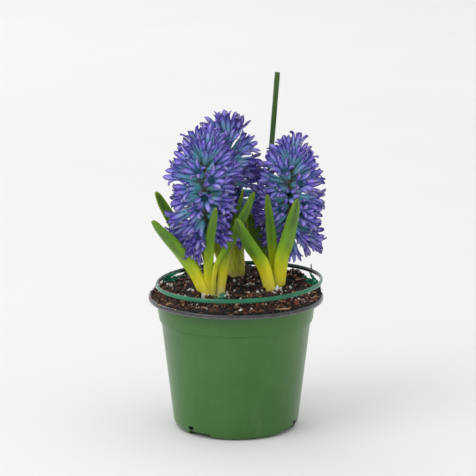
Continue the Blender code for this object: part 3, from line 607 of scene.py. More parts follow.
chip_draw = random.Random(21)
chip_models = [chip_model(chip_draw) for _ in range(5)]
chip_places = []
chip_tones = []
for chip_x, chip_y, chip_turn, length in CHIP_SPOTS:
    chip_places.append(lying(chip_x, chip_y, math.radians(chip_turn), 0.1,
                             (length, length * 0.11, length * 0.09), -0.0012))
    chip_tones.append(0.98)
for _ in range(CHIP_COUNT):
    chip_x, chip_y = on_mound(chip_draw, 0.45)
    length = chip_draw.uniform(*CHIP_LENGTHS)
    chip_size = (length, length * chip_draw.uniform(0.08, 0.30), length * chip_draw.uniform(0.07, 0.18))
    chip_places.append(lying(chip_x, chip_y, chip_draw.uniform(0, 6.3), chip_draw.uniform(-0.3, 0.3),
                             chip_size, -length * 0.06))
    chip_tones.append(chip_draw.uniform(0.40, 1.0))
chips = strewn("bark_chips", chip_models, chip_places, chip_tones, PEAT)
smooth(chips, 40)
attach(chips, "root")

# Root fibres: hair-thin brown strands of peat moss and root that stand and curl out of the mix.
FIBRE_COUNT = 240
FIBRE_LENGTHS = (0.004, 0.012)
FIBRE_STEPS = 7


def swept_piece(name, route, radii, sides):
    """A closed round strand: a circle carried along a route, with its own radius at each point."""
    bpy.ops.mesh.primitive_cylinder_add(vertices=sides, radius=1, depth=1, end_fill_type="NOTHING")
    strand = bpy.context.object
    strand.name = strand.data.name = name
    bpy.ops.object.mode_set(mode="EDIT")
    bpy.ops.mesh.select_all(action="DESELECT")
    bpy.ops.object.mode_set(mode="OBJECT")
    for edge in strand.data.edges:
        edge.select = all(strand.data.vertices[end].co.z > 0 for end in edge.vertices)
    bpy.ops.object.mode_set(mode="EDIT")
    bpy.ops.mesh.select_mode(type="EDGE")
    for _ in range(len(route) - 2):
        bpy.ops.mesh.extrude_edges_move(TRANSFORM_OT_translate={"value": (0, 0, 1)})
    bpy.ops.mesh.select_all(action="SELECT")
    bpy.ops.mesh.fill_holes(sides=0)
    bpy.ops.mesh.normals_make_consistent(inside=False)
    bpy.ops.object.mode_set(mode="OBJECT")
    frames = []
    side = Vector((1, 0, 0))
    for index, point in enumerate(route):
        run = (route[min(index + 1, len(route) - 1)] - route[max(index - 1, 0)]).normalized()
        side = (side - side.dot(run) * run).normalized()
        frames.append((point, side, run.cross(side), radii[index]))
    for corner in strand.data.vertices:
        point, side, other, radius = frames[round(corner.co.z + 0.5)]
        corner.co = point + (side * corner.co.x + other * corner.co.y) * radius
    return strand


def fibre_model(draw):
    """A curled strand of unit length that starts and ends low."""
    bend = draw.uniform(-0.5, 0.5)
    route = []
    for step in range(FIBRE_STEPS):
        share = step / (FIBRE_STEPS - 1)
        route.append(Vector((share - 0.5, bend * math.sin(share * draw.uniform(2.6, 3.6)),
                             0.22 * math.sin(share * math.pi) + draw.uniform(-0.03, 0.03))))
    return swept_piece("fibre", route, [0.016] * FIBRE_STEPS, 3)


fibre_draw = random.Random(34)
fibre_models = [fibre_model(fibre_draw) for _ in range(6)]
fibre_places = []
fibre_tones = []
for _ in range(FIBRE_COUNT):
    fibre_x, fibre_y = on_mound(fibre_draw, 0.4)
    length = fibre_draw.uniform(*FIBRE_LENGTHS)
    fibre_places.append(lying(fibre_x, fibre_y, fibre_draw.uniform(0, 6.3), fibre_draw.uniform(-0.6, 0.6),
                              (length, length, length * 0.8), -0.0002))
    fibre_tones.append(fibre_draw.uniform(0.5, 1.0))
fibres = strewn("root_fibres", fibre_models, fibre_places, fibre_tones, PEAT)
smooth(fibres, 80)
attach(fibres, "root")


# Bulbs: three forced bulbs buried to the nose. Each is a squat, ribbed onion shape in a papery skin, and
# its cut-off nose carries the leaves and the stalk.
PLANTS = {
    "left": {
        "centre": (-0.0222, -0.0335), "stalk_radii": (0.0046, 0.0038),
        "stalk": ((-0.0222, -0.0334, 0.145), (-0.0265, -0.0308, 0.168)),
        "head": ((-0.0292, -0.028, 0.190), (-0.029, -0.028, 0.262)),
        "florets": 66, "reach": 1.02, "seed": 11, "droop": (-52, -18),
        "set_by_hand": ((0.07, -116, -57, 1.02), (0.07, -165, -50, 1.0)),
    },
    "right": {
        "centre": (0.0355, -0.0217), "stalk_radii": (0.0046, 0.0038),
        "stalk": ((0.0358, -0.0215, 0.145), (0.0435, -0.0155, 0.166)),
        "head": ((0.0497, -0.0105, 0.187), (0.0505, -0.010, 0.253)),
        "florets": 64, "reach": 0.97, "seed": 23, "droop": (-38, -26),
        "set_by_hand": ((0.07, -30, -34, 0.88), (0.07, 12, -27, 0.90)),
    },
    "back": {
        "centre": (0.0, 0.0228), "stalk_radii": (0.0088, 0.0054),
        "stalk": ((0.0, 0.0230, 0.144), (0.0006, 0.0262, 0.163)),
        "head": ((0.001, 0.0300, 0.186), (-0.0090, 0.033, 0.2610)),
        "florets": 48, "reach": 0.90, "seed": 37, "droop": (-26, -26),
        "set_by_hand": ((0.97, 186, 46, 1.00), (1.0, 205, 62, 1.02), (1.0, 235, 80, 1.02),
                        (0.99, -30, 80, 1.02), (0.99, -10, 62, 0.98), (0.90, 172, 30, 0.84),
                        (0.90, -14, 26, 0.90), (0.84, -20, 2, 0.92), (0.80, -40, -6, 0.90),
                        (0.70, -12, -4, 0.92)),
    },
}
BULB_OUTLINE = ((0.003, 0.082), (0.009, 0.0822), (0.0125, 0.0835), (0.016, 0.086), (0.0195, 0.0898),
                (0.0215, 0.094), (0.0225, 0.0985), (0.0225, 0.103), (0.0217, 0.108), (0.0205, 0.113),
                (0.0187, 0.1173), (0.0165, 0.1215), (0.0143, 0.126), (0.0118, 0.1295), (0.0105, 0.1305),
                (0.003, 0.1305))
BULB_SIDES = 64
BULB_RIBS = 17


def bulb_paper():
    """Dry papery bulb skin, tan with purple-brown veins that run from plate to nose."""
    material, tree = new_surface("bulb_skin", Roughness=0.6, Sheen_Weight=0.15)
    veins = patches(tree, 260, 0.42, 0.62, 0.08)
    skin = mixed(tree, veins, (190, 158, 122), (122, 82, 84))
    torn = mixed(tree, patches(tree, 60, 0.55, 0.6), skin, (226, 214, 190))
    coat(tree, Base_Color=torn, Normal=bumped(tree, veins, 0.0003))
    return material


BULB_SKIN = bulb_paper()
for plant_name, plant in PLANTS.items():
    bulb = turned_piece(f"bulb_of_{plant_name}", BULB_OUTLINE, BULB_SIDES)
    for corner in bulb.data.vertices:
        angle = math.atan2(corner.co.y, corner.co.x)
        rib = 0.985 + 0.012 * math.sin(BULB_RIBS * angle) + 0.006 * math.sin(5 * angle)
        corner.co.xy = corner.co.xy * rib + Vector(plant["centre"])
    smooth(bulb, 50)
    bulb.data.materials.append(BULB_SKIN)
    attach(bulb, "root")
    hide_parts(f"bulb_{plant_name}")


# Stalks: a thick fleshy stalk from each bulb's nose, ribbed lengthways, white at the foot and green
# above, that goes on through its flower head as the ribbed stem that the florets sit on.
STALK_SIDES = 40
STALK_STEPS = 30
STALK_TIP_RADIUS = 0.0016
STALK_PINCH = (0.12, 0.1375, 0.0045)
CORE_BELOW = 0.012


def along_route(points, share):
    """A point on the smooth curve through the given points, at a share of their number."""
    spans = len(points) - 1
    index = min(int(share * spans), spans - 1)
    local = share * spans - index
    before = points[index - 1] if index else 2 * points[0] - points[1]
    first, second = points[index], points[index + 1]
    after = points[index + 2] if index + 2 <= spans else 2 * second - first
    return 0.5 * (2 * first + (second - before) * local
                  + (2 * before - 5 * first + 4 * second - after) * local ** 2
                  + (3 * first - before - 3 * second + after) * local ** 3)


def blend(start, end, share):
    """A value between two others, eased at both ends."""
    share = min(max(share, 0.0), 1.0)
    return start + (end - start) * share * share * (3 - 2 * share)


def stalk_green():
    """Smooth stalk, creamy at the soil and olive green above, with darker lines lengthways, a purple blush in
    patches, and a dusky purple-grey inside the flower head that is partly the stem's flush and partly painted
    shade.
    """
    material, tree = new_surface("stalk", Subsurface_Weight=0.2, Subsurface_Radius=(0.004, 0.006, 0.002),
                                 Subsurface_Scale=0.5, Roughness=0.42)
    height = axes(tree)["Z"]
    flesh = ramped(tree, between(tree, height, 0.1385, 0.165), (250, 244, 220), (0.10, (230, 226, 130)),
                   (0.30, (222, 226, 50)), last=(186, 198, 30))
    lines = patches(tree, 700, 0.40, 0.62, 0.03)
    lined = mixed(tree, lines, flesh, (92, 108, 8), 0.4)
    blushed = multiplied(tree, patches(tree, 150, 0.60, 0.78, 0.5), 0.15)
    # Inside the flower head the stem darkens to purple-grey: partly its own flush, partly painted shade among
    # the florets.
    head_flush_and_shade = between(tree, height, 0.176, 0.190, 0.0, 0.8)
    tinted = mixed(tree, calculated(tree, "MAXIMUM", blushed, head_flush_and_shade), lined, (70, 62, 66))
    coat(tree, Base_Color=tinted, Normal=bumped(tree, lines, 0.00025))
    return material


def plant_stalk(name, plant):
    """The stalk and the stem of the head above it, as one smooth strand."""
    foot, top = (Vector(point) for point in plant["head"])
    start = Vector((*plant["centre"], BULB_OUTLINE[-1][1] + 0.0004))
    points = [start, *(Vector(point) for point in plant["stalk"]),
              foot - (top - foot).normalized() * CORE_BELOW, foot, foot.lerp(top, 0.5), top]
    route = [along_route(points, step / STALK_STEPS) for step in range(STALK_STEPS + 1)]
    pinch, pinch_height, pinch_reach = STALK_PINCH
    radii = []
    for point in route:
        radius = blend(*plant["stalk_radii"], ((point.z - start.z) / (foot.z - start.z)) ** 1.4)
        radius *= 1 - pinch * math.exp(-((point.z - pinch_height) / pinch_reach) ** 2)
        radii.append(blend(radius, STALK_TIP_RADIUS, (point.z - foot.z) / (top.z - foot.z)))
    return swept_piece(f"stalk_of_{name}", route, radii, STALK_SIDES)


STALK_GREEN = stalk_green()
for plant_name, plant in PLANTS.items():
    stalk = plant_stalk(plant_name, plant)
    smooth(stalk, 60)
    stalk.data.materials.append(STALK_GREEN)
    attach(stalk, "root")
    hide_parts(f"scape_{plant_name}")


# Leaves: fleshy strap leaves in a sheathing tuft round each stalk. Each is channelled along its
# inner face, thick at the keel and thin at the edges, and closes in a blunt, hooded tip.
LEAVES = {
    "leaf_left_1": ((-0.0272, -0.0412), (240, 238, 0.0, 0.35), (0.0112, 0.0144),
                    ((-0.0393, -0.0390, 0.1564), (-0.0558, -0.0420, 0.1803), (-0.0773, -0.0480, 0.2065))),
    "leaf_left_2": ((-0.0278, -0.0284), (138, 128, 0.0, 0.35), (0.0078, 0.0140),
                    ((-0.0430, -0.0215, 0.1630), (-0.0549, -0.0140, 0.1898), (-0.0757, -0.0040, 0.2255))),
    "leaf_left_3": ((-0.0228, -0.0398), (258, 265, 0.0, 0.35), (0.0070, 0.0090),
                    ((-0.0253, -0.0460, 0.1599), (-0.0240, -0.0550, 0.1890), (-0.0184, -0.0620, 0.2222))),
    "leaf_left_4": ((-0.0205, -0.0447), (345, 288, 0.35, 0.95), (0.0056, 0.0120),
                    ((-0.0174, -0.0445, 0.1621), (-0.0033, -0.0430, 0.1876), (0.0175, -0.0380, 0.2321))),
    "leaf_left_5": ((-0.0142, -0.0420), (300, 333, 0.45, 0.85), (0.0066, 0.0100),
                    ((-0.0108, -0.0360, 0.1605), (-0.0070, -0.0330, 0.1835), (0.0082, -0.0270, 0.2318))),
    "leaf_right_1": ((0.0325, -0.0325), (242, 240, 0.0, 0.35), (0.0070, 0.0150),
                     ((0.0243, -0.0355, 0.1613), (0.0131, -0.0440, 0.1808), (-0.0006, -0.0545, 0.2099))),
    "leaf_right_2": ((0.0295, -0.0170), (142, 128, 0.0, 0.35), (0.0078, 0.0165),
                     ((0.0285, -0.0130, 0.1561), (0.0205, -0.0105, 0.1760), (0.0095, -0.0040, 0.2060))),
    "leaf_right_3": ((0.0350, -0.0282), (269, 264, 0.0, 0.35), (0.0064, 0.0092),
                     ((0.0352, -0.0275, 0.1623), (0.0324, -0.0370, 0.1929), (0.0283, -0.0475, 0.2312))),
    "leaf_right_4": ((0.0415, -0.0242), (300, 288, 0.0, 0.35), (0.0078, 0.0140),
                     ((0.0425, -0.0320, 0.1630), (0.0487, -0.0420, 0.1902), (0.0568, -0.0510, 0.2280))),
    "leaf_back_1": ((-0.0058, 0.0320), (122, 122, 0.0, 0.35), (0.0070, 0.0120),
                    ((-0.0095, 0.0405, 0.1600), (-0.0140, 0.0530, 0.1840), (-0.0185, 0.0660, 0.2080))),
    "leaf_back_2": ((-0.0108, 0.0243), (168, 150, 0.0, 0.35), (0.0070, 0.0140),
                    ((-0.0185, 0.0300, 0.1600), (-0.0310, 0.0400, 0.1840), (-0.0460, 0.0510, 0.2060))),
    "leaf_back_3": ((0.0028, 0.0334), (80, 90, 0.0, 0.35), (0.0060, 0.0100),
                    ((0.0020, 0.0430, 0.1600), (0.0030, 0.0565, 0.1840), (0.0040, 0.0700, 0.2080))),
}
LEAF_COLUMNS = 14
LEAF_ROWS = 56
LEAF_THICKNESS = 0.0021
LEAF_WIDEST = 0.44
LEAF_WAVE = 0.0003
LEAF_ARCH = 1.35
LEAF_FOLDS = (0.24, 0.20)
LEAF_TIP_FOLD = 0.14
LEAF_HOOD = 0.0016


def leaf_frame(route, facing_from, facing_to, turn_start, turn_end, share):
    """Place, outward normal and width direction of a leaf at a share of its length."""
    start = along_route(route, max(share - 0.01, 0.0))
    end = along_route(route, min(share + 0.01, 1.0))
    run = (end - start).normalized()
    angle = math.radians(blend(facing_from, facing_to, (share - turn_start) / (turn_end - turn_start)))
    facing = Vector((math.cos(angle), math.sin(angle), 0))
    outward = (facing - facing.dot(run) * run).normalized()
    return along_route(route, share), outward, run.cross(outward)


def leaf_width(at_foot, at_middle, share):
    """Width of a leaf that broadens quickly out of the neck and closes in a blunt tip."""
    broad = at_foot + (at_middle - at_foot) * min(share / LEAF_WIDEST, 1.0) ** 0.30
    past = max(share - LEAF_WIDEST, 0) / (1 - LEAF_WIDEST)
    return broad * math.sqrt(max(1 - past ** 2.7, 0.006))


def shaped_leaf(name, facings, widths, route):
    """A grid bent into one channelled leaf along its route, then given its thickness."""
    bpy.ops.mesh.primitive_grid_add(x_subdivisions=LEAF_COLUMNS, y_subdivisions=LEAF_ROWS, size=2)
    leaf = bpy.context.object
    leaf.name = leaf.data.name = name
    keel = leaf.vertex_groups.new(name="keel")
    phase = facings[0] + route[-1].x * 400
    for corner in leaf.data.vertices:
        station = corner.co.x
        share = 1 - (1 - (corner.co.y + 1) / 2) ** 1.6
        place, outward, across = leaf_frame(route, *facings, share)
        here = leaf_width(*widths, share)
        fold = here * (blend(*LEAF_FOLDS, share / 0.4) + blend(0, LEAF_TIP_FOLD, (share - 0.86) / 0.14))
        wave = LEAF_WAVE * station * math.sin(share * 21 + phase) * min(share * 4, 1)
        hood = blend(0, LEAF_HOOD, (share - 0.90) / 0.10)
        corner.co = place + across * here / 2 * math.sin(station * LEAF_ARCH) / math.sin(LEAF_ARCH)
        corner.co -= outward * (fold * station ** 2 + hood - wave)
        keel.add([corner.index], 1 - 0.62 * abs(station) ** 1.8, "REPLACE")
    modify(leaf, "SOLIDIFY", thickness=LEAF_THICKNESS, offset=0, vertex_group="keel", use_even_offset=False)
    modify(leaf, "SUBSURF", levels=1, render_levels=1)
    leaf.vertex_groups.clear()
    return leaf


def leaf_green():
    """Leaf flesh: cream-yellow at the sheath, bright and then mid green, with fine lengthways veins, and a
    dark band down the middle that is partly a dark tint and partly painted shade in the channel.
    """
    material, tree = new_surface("leaf", Subsurface_Weight=0.30, Subsurface_Radius=(0.004, 0.005, 0.001),
                                 Subsurface_Scale=0.5, Specular_IOR_Level=0.5, Coat_Weight=0.15,
                                 Coat_Roughness=0.3)
    place = axes(tree, "UV")
    uneven = calculated(tree, "ADD", place["Y"], ranged(tree, patches(tree, 55, 0.3, 0.7, 0.4), -0.05, 0.05))
    flesh = ramped(tree, uneven, (255, 248, 170), (0.07, (255, 246, 84)), (0.17, (250, 242, 24)),
                   (0.28, (204, 230, 8)), (0.42, (142, 196, 6)), (0.62, (110, 164, 12)),
                   (0.86, (130, 180, 24)), last=(176, 206, 62))
    veins = add_node(tree, "ShaderNodeTexWave", {"Vector": coordinates(tree, "UV"), "Scale": 8.5,
                                                 "Distortion": 1.2, "Detail": 2.0, "Detail Scale": 1.5},
                     bands_direction="X").outputs["Fac"]
    grown = between(tree, place["Y"], 0.12, 0.5, 0.06)
    veined = mixed(tree, multiplied(tree, veins, grown), flesh, (46, 88, 6), 0.50)
    aside = off_middle(tree, place["X"])
    # Dark band down the middle of the leaf, in patches: partly a dark tint, partly painted shade in the
    # channel.
    channel = multiplied(tree, between(tree, aside, 0.24, 0.04), patches(tree, 120, 0.25, 0.75, 0.25), grown)
    darkened = mixed(tree, channel, veined, (46, 68, 34), 0.8)
    edged = mixed(tree, between(tree, aside, 0.40, 0.5), darkened, (190, 214, 64), 0.5)
    coat(tree, Base_Color=edged, Roughness=ranged(tree, patches(tree, 240, 0.3, 0.7, 0.3), 0.26, 0.40),
         Normal=bumped(tree, veins, 0.00028))
    return material


LEAF_GREEN = leaf_green()
barriers = []
for leaf_name, (foot, facings, widths, points) in LEAVES.items():
    route = [Vector((*foot, BULB_OUTLINE[-1][1] + 0.0003))] + [Vector(point) for point in points]
    leaf = shaped_leaf(leaf_name.replace("leaf", "strap_leaf"), facings, widths, route)
    smooth(leaf, 180)
    leaf.data.materials.append(LEAF_GREEN)
    barriers.append(surface_of(leaf))
    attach(leaf, "root")
    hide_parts(leaf_name)


# Stake: a round rod of split cane dyed olive green, sawn off square and pushed down into the soil.
STAKE_RADIUS = 0.0025
STAKE_FOOT = Vector((0.0179, 0.0485, 0.048))
STAKE_TOP = Vector((0.0392, 0.0485, 0.3307))
STAKE_RINGS = 60


def dyed_cane():
    """Green-dyed cane with straight grain and small worn patches."""
    material, tree = new_surface("stake_dye", Specular_IOR_Level=0.35)
    grain = patches(tree, 1300, 0.35, 0.65, 0.02)
    dyed = mixed(tree, grain, (72, 110, 46), (46, 78, 32))
    faded = mixed(tree, patches(tree, 90, 0.62, 0.70, 0.25), dyed, (126, 146, 86), 0.3)
    coat(tree, Base_Color=faded, Roughness=ranged(tree, grain, 0.5, 0.7), Normal=bumped(tree, grain, 0.00018))
    return material


stake_route = [STAKE_FOOT.lerp(STAKE_TOP, step / STAKE_RINGS) for step in range(STAKE_RINGS + 1)]
stake_radii = [STAKE_RADIUS * (1 + 0.02 * math.sin(step * 0.9) + 0.012 * math.sin(step * 2.3))
               for step in range(STAKE_RINGS + 1)]
stake = swept_piece("cane_stake", stake_route, stake_radii, 28)
modify(stake, "BEVEL", width=0.0003, segments=2, limit_method="ANGLE", angle_limit=math.radians(60))
smooth(stake, 50)
stake.data.materials.append(dyed_cane())
barriers.append(surface_of(stake))
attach(stake, "root")
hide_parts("stake")


# Flower heads: waxy florets in a spiral round each stem. A floret is a swollen tube on a short stalk
# that opens like a funnel into six strap lobes, teal at the tube and violet beyond, with a painted
# highlight along each lobe's middle, dark rolled-back edges and small dark curled tips.
LOBES = 6
LOBE_COLUMNS = 4
TUBE_STATIONS = ((0.0030, 0.0011), (0.0062, 0.0014), (0.0080, 0.0026), (0.0110, 0.0032), (0.0140, 0.0033),
                 (0.0168, 0.0035), (0.0192, 0.0040))
LOBE_ROWS = 8
LOBE_LENGTH = 0.0174
LOBE_HALF_WIDTHS = (0.0021, 0.0027)
LOBE_ROLL = 0.0011
LOBE_SWAY = 0.3
LOBE_TWIST = 1.1
OPENING_SPREAD = 0.14
CURL_SPREAD = (-0.4, 0.5)
PETAL_THICKNESS = 0.0006
GOLDEN_ANGLE = math.radians(137.508)
TURN_SPREAD = 0.14
RISE_SPREAD = 0.11
SIZE_SPREAD = (0.86, 1.06)
RISE_AT_TOP = math.radians(72)
FLORET_KINDS = ((0.14, 1.2), (0.24, 1.5), (0.08, 0.9), (0.18, 1.9), (0.34, 1.3))
HULL_SIDES = 8
SHRINKS = (1.0, 0.93, 0.86, 0.79, 0.72, 0.6)
NUDGES = ((0, 0), (10, 0), (-10, 0), (0, 10), (0, -10), (16, 12), (-16, 12), (16, -12), (-16, -12))


def lobe_stations(opening, curl):
    """Distance out, distance from the axis, lean, half width and channel depth along tube and lobe."""
    stations = [(out, radius, 0.0, radius * math.sin(math.pi / LOBES),
                 radius * (1 - math.cos(math.pi / LOBES))) for out, radius in TUBE_STATIONS]
    out, radius = TUBE_STATIONS[-1]
    for row in range(1, LOBE_ROWS + 1):
        share = row / LOBE_ROWS
        lean = opening * (0.45 + 0.55 * share) + curl * share ** 6
        out += LOBE_LENGTH / LOBE_ROWS * math.cos(lean)
        radius += LOBE_LENGTH / LOBE_ROWS * math.sin(lean)
        half_width = min(blend(*LOBE_HALF_WIDTHS, share * 2.0), 0.52 * radius)
        half_width *= (1 - 0.5 * max(share - 0.6, 0)) * math.sqrt(max(1 - share ** 7, 0.08))
        roll = blend(0.0005, -LOBE_ROLL, (share - 0.25) * 2.2) + blend(0, 1.2 * LOBE_ROLL, (share - 0.8) * 5)
        stations.append((out, radius, lean, half_width, roll))
    return stations


def floret_model(name, opening, curl, draw):
    """One floret along +X: a grid of six strips, parted beyond the tube, rolled up and thickened."""
    rows = len(TUBE_STATIONS) - 1 + LOBE_ROWS
    bpy.ops.mesh.primitive_grid_add(x_subdivisions=LOBES * LOBE_COLUMNS, y_subdivisions=rows, size=2)
    floret = bpy.context.object
    floret.name = name
    mesh = floret.data
    parted = len(TUBE_STATIONS) - 1
    column = [(corner.co.x + 1) / 2 * LOBES * LOBE_COLUMNS for corner in mesh.vertices]
    row_of = [(corner.co.y + 1) / 2 * rows for corner in mesh.vertices]
    bpy.ops.object.mode_set(mode="EDIT")
    bpy.ops.mesh.select_mode(type="EDGE")
    bpy.ops.mesh.select_all(action="DESELECT")
    bpy.ops.object.mode_set(mode="OBJECT")
    for edge in mesh.edges:
        places = [round(column[end]) for end in edge.vertices]
        heights = [round(row_of[end]) for end in edge.vertices]
        edge.select = places[0] == places[1] and places[0] % LOBE_COLUMNS == 0 and min(heights) >= parted
    bpy.ops.object.mode_set(mode="EDIT")
    bpy.ops.mesh.edge_split(type="EDGE")
    bpy.ops.object.mode_set(mode="OBJECT")
    lobe_of = {}
    for face in mesh.polygons:
        for corner in face.vertices:
            lobe_of[corner] = int((face.center.x + 1) / 2 * LOBES)
    shapes = [lobe_stations(opening + draw.uniform(-OPENING_SPREAD, OPENING_SPREAD),
                            curl + draw.uniform(*CURL_SPREAD)) for _ in range(LOBES)]
    sways = [(draw.uniform(-LOBE_SWAY, LOBE_SWAY), draw.uniform(-LOBE_TWIST, LOBE_TWIST))
             for _ in range(LOBES)]
    for corner in mesh.vertices:
        lobe = lobe_of[corner.index]
        station = ((corner.co.x + 1) / 2 * LOBES - lobe) * 2 - 1
        row = round((corner.co.y + 1) / 2 * rows)
        out, radius, lean, half_width, depth = shapes[0 if row <= parted else lobe][row]
        share = max(row - parted, 0) / LOBE_ROWS
        sway, twist = (amount * share ** 2 for amount in sways[lobe])
        inward = depth * station ** 2 + half_width * station * math.sin(twist)
        out += inward * math.sin(lean)
        radius -= inward * math.cos(lean)
        angle = (lobe + 0.5) * 2 * math.pi / LOBES + sway
        sideways = half_width * station * math.cos(twist)
        corner.co = Matrix.Rotation(angle, 3, "X") @ Vector((out, sideways, radius))
    bpy.ops.object.mode_set(mode="EDIT")
    bpy.ops.mesh.select_all(action="SELECT")
    bpy.ops.mesh.remove_doubles(threshold=0.00002)
    bpy.ops.mesh.normals_make_consistent(inside=False)
    bpy.ops.object.mode_set(mode="OBJECT")
    modify(floret, "SOLIDIFY", thickness=PETAL_THICKNESS, offset=0)
    return floret


def petal_violet():
    """Waxy teal to violet petals with pale streaks, a painted highlight along each lobe's middle, dark edges
    and each floret's own tone.
    """
    material, tree = new_surface("petals", Subsurface_Weight=0.10, Subsurface_Radius=(0.001, 0.001, 0.002),
                                 Subsurface_Scale=0.5, Roughness=0.34, Specular_IOR_Level=0.5)
    place = axes(tree, "UV")
    tone = own_tone(tree)
    along = calculated(tree, "ADD", place["Y"], ranged(tree, patches(tree, 420, 0.3, 0.7), -0.06, 0.06))
    along = calculated(tree, "ADD", along, ranged(tree, tone, -0.10, 0.10))
    waxy = ramped(tree, along, (104, 104, 56), (0.12, (112, 190, 150)), (0.26, (124, 228, 228)),
                  (0.50, (146, 218, 250)), (0.62, (154, 182, 255)), (0.74, (150, 132, 250)),
                  (0.87, (116, 72, 220)), (0.95, (58, 28, 136)), last=(40, 18, 92))
    lengthways = add_node(tree, "ShaderNodeVectorMath", {0: coordinates(tree, "UV"), 1: (26.0, 2.0, 1.0)},
                          operation="MULTIPLY").outputs[0]
    streak = add_node(tree, "ShaderNodeTexNoise", {"Vector": lengthways, "Scale": 1.0, "Detail": 2.0})
    streaks = between(tree, streak.outputs["Fac"], 0.38, 0.64)
    aside = off_middle(tree, calculated(tree, "FRACT", multiplied(tree, place["X"], float(LOBES))))
    # Painted highlight: a pale band down the middle of each lobe, in patches, added to the pale streaks.
    glint = multiplied(tree, between(tree, aside, 0.24, 0.02), patches(tree, 230, 0.38, 0.60), 0.62)
    pale = calculated(tree, "ADD", multiplied(tree, streaks, 0.40), glint)
    inner = between(tree, place["Y"], 0.62, 0.90, 1.0, 0.7)
    paled = mixed(tree, multiplied(tree, pale, inner), waxy, (214, 224, 255))
    margin = multiplied(tree, between(tree, aside, 0.24, 0.44), between(tree, place["Y"], 0.34, 0.52))
    edged = mixed(tree, margin, paled, (52, 22, 124), 0.8)
    shaded = mixed(tree, ranged(tree, tone, 0.26, 0.0), edged, (48, 44, 132))
    coat(tree, Base_Color=shaded, Normal=bumped(tree, streaks, 0.00016))
    return material


def floret_places(plant):
    """Foot, bearing, rise, roll and size of each floret, spiralling up the stem with seeded variation."""
    draw = random.Random(plant["seed"])
    foot, top = (Vector(point) for point in plant["head"])
    count = plant["florets"]
    for index in range(count):
        share = (index + 0.5) / count
        turn = index * GOLDEN_ANGLE + draw.uniform(-TURN_SPREAD, TURN_SPREAD)
        droop = math.radians(blend(*plant["droop"], (1 + math.cos(turn)) / 2))
        rise = droop * (1 - share) ** 1.6 + RISE_AT_TOP * share ** 3.2
        rise += draw.uniform(-RISE_SPREAD, RISE_SPREAD)
        size = plant["reach"] * draw.uniform(*SIZE_SPREAD) * blend(1.0, 0.92, (share - 0.75) * 4)
        yield foot.lerp(top, share), turn, rise, draw.uniform(0, 1.05), size
    for share, turn, rise, size in plant["set_by_hand"]:
        yield foot.lerp(top, share), math.radians(turn), math.radians(rise), 0, size


def floret_matrix(foot, turn, rise, roll, size):
    """Places a floret's +X along its bearing and rise."""
    return (Matrix.Translation(foot) @ Matrix.Rotation(turn, 4, "Z") @ Matrix.Rotation(-rise, 4, "Y")
            @ Matrix.Rotation(roll, 4, "X") @ Matrix.Scale(size, 4))


def floret_hull():
    """Corners and faces of the plain funnel round a floret, for testing what it would cross."""
    corners = []
    faces = []
    for out, radius, *_ in lobe_stations(*FLORET_KINDS[0])[1::2]:
        first = len(corners)
        for side in range(HULL_SIDES):
            angle = 2 * math.pi * side / HULL_SIDES
            corners.append(Vector((out, radius * math.cos(angle), radius * math.sin(angle))))
            if first:
                beside = (side + 1) % HULL_SIDES
                faces.append((first - HULL_SIDES + side, first - HULL_SIDES + beside, first + beside,
                              first + side))
    return corners, faces


def clear_matrix(place, hull):
    """The first matrix that keeps a floret off leaves, stake and the other heads, and its hull there."""
    foot, turn, rise, roll, size = place
    corners, faces = hull
    for shrink in SHRINKS:
        for sideways, upward in NUDGES:
            matrix = floret_matrix(foot, turn + math.radians(sideways), rise + math.radians(upward), roll,
                                   size * shrink)
            surface = BVHTree.FromPolygons([matrix @ corner for corner in corners], faces)
            if not any(surface.overlap(barrier) for barrier in barriers):
                return matrix, surface
    return None, None


PETALS = petal_violet()
FLORET_HULL = floret_hull()
for plant_name, plant in PLANTS.items():
    floret_draw = random.Random(plant["seed"] + 1)
    models = [floret_model("floret", opening, curl, floret_draw) for opening, curl in FLORET_KINDS]
    found = [clear_matrix(place, FLORET_HULL) for place in floret_places(plant)]
    matrices = [matrix for matrix, hull in found if matrix]
    barriers += [hull for matrix, hull in found if matrix]
    head = strewn(f"florets_of_{plant_name}", models, matrices,
                  [floret_draw.random() for _ in matrices], PETALS)
    smooth(head, 60)
    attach(head, "root")
    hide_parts(f"flower_head_{plant_name}")


# Hoop: an oval band of glossy teal plastic that keeps the leaves in, tilted a little to the left,
# with the small nub left by its mould.
HOOP_RADIUS = 0.0775
HOOP_SECTION = (0.0014, 0.0021)
HOOP_CENTRE = (0.003, 0.0, 0.139)
HOOP_TILT = math.radians(-1.95)
HOOP_NUB_ANGLE = math.radians(27)
HOOP_NUB_RADII = (0.0008, 0.0005)
HOOP_NUB_HEIGHT = 0.0058
HOOP_NUB_RISE = 0.0036


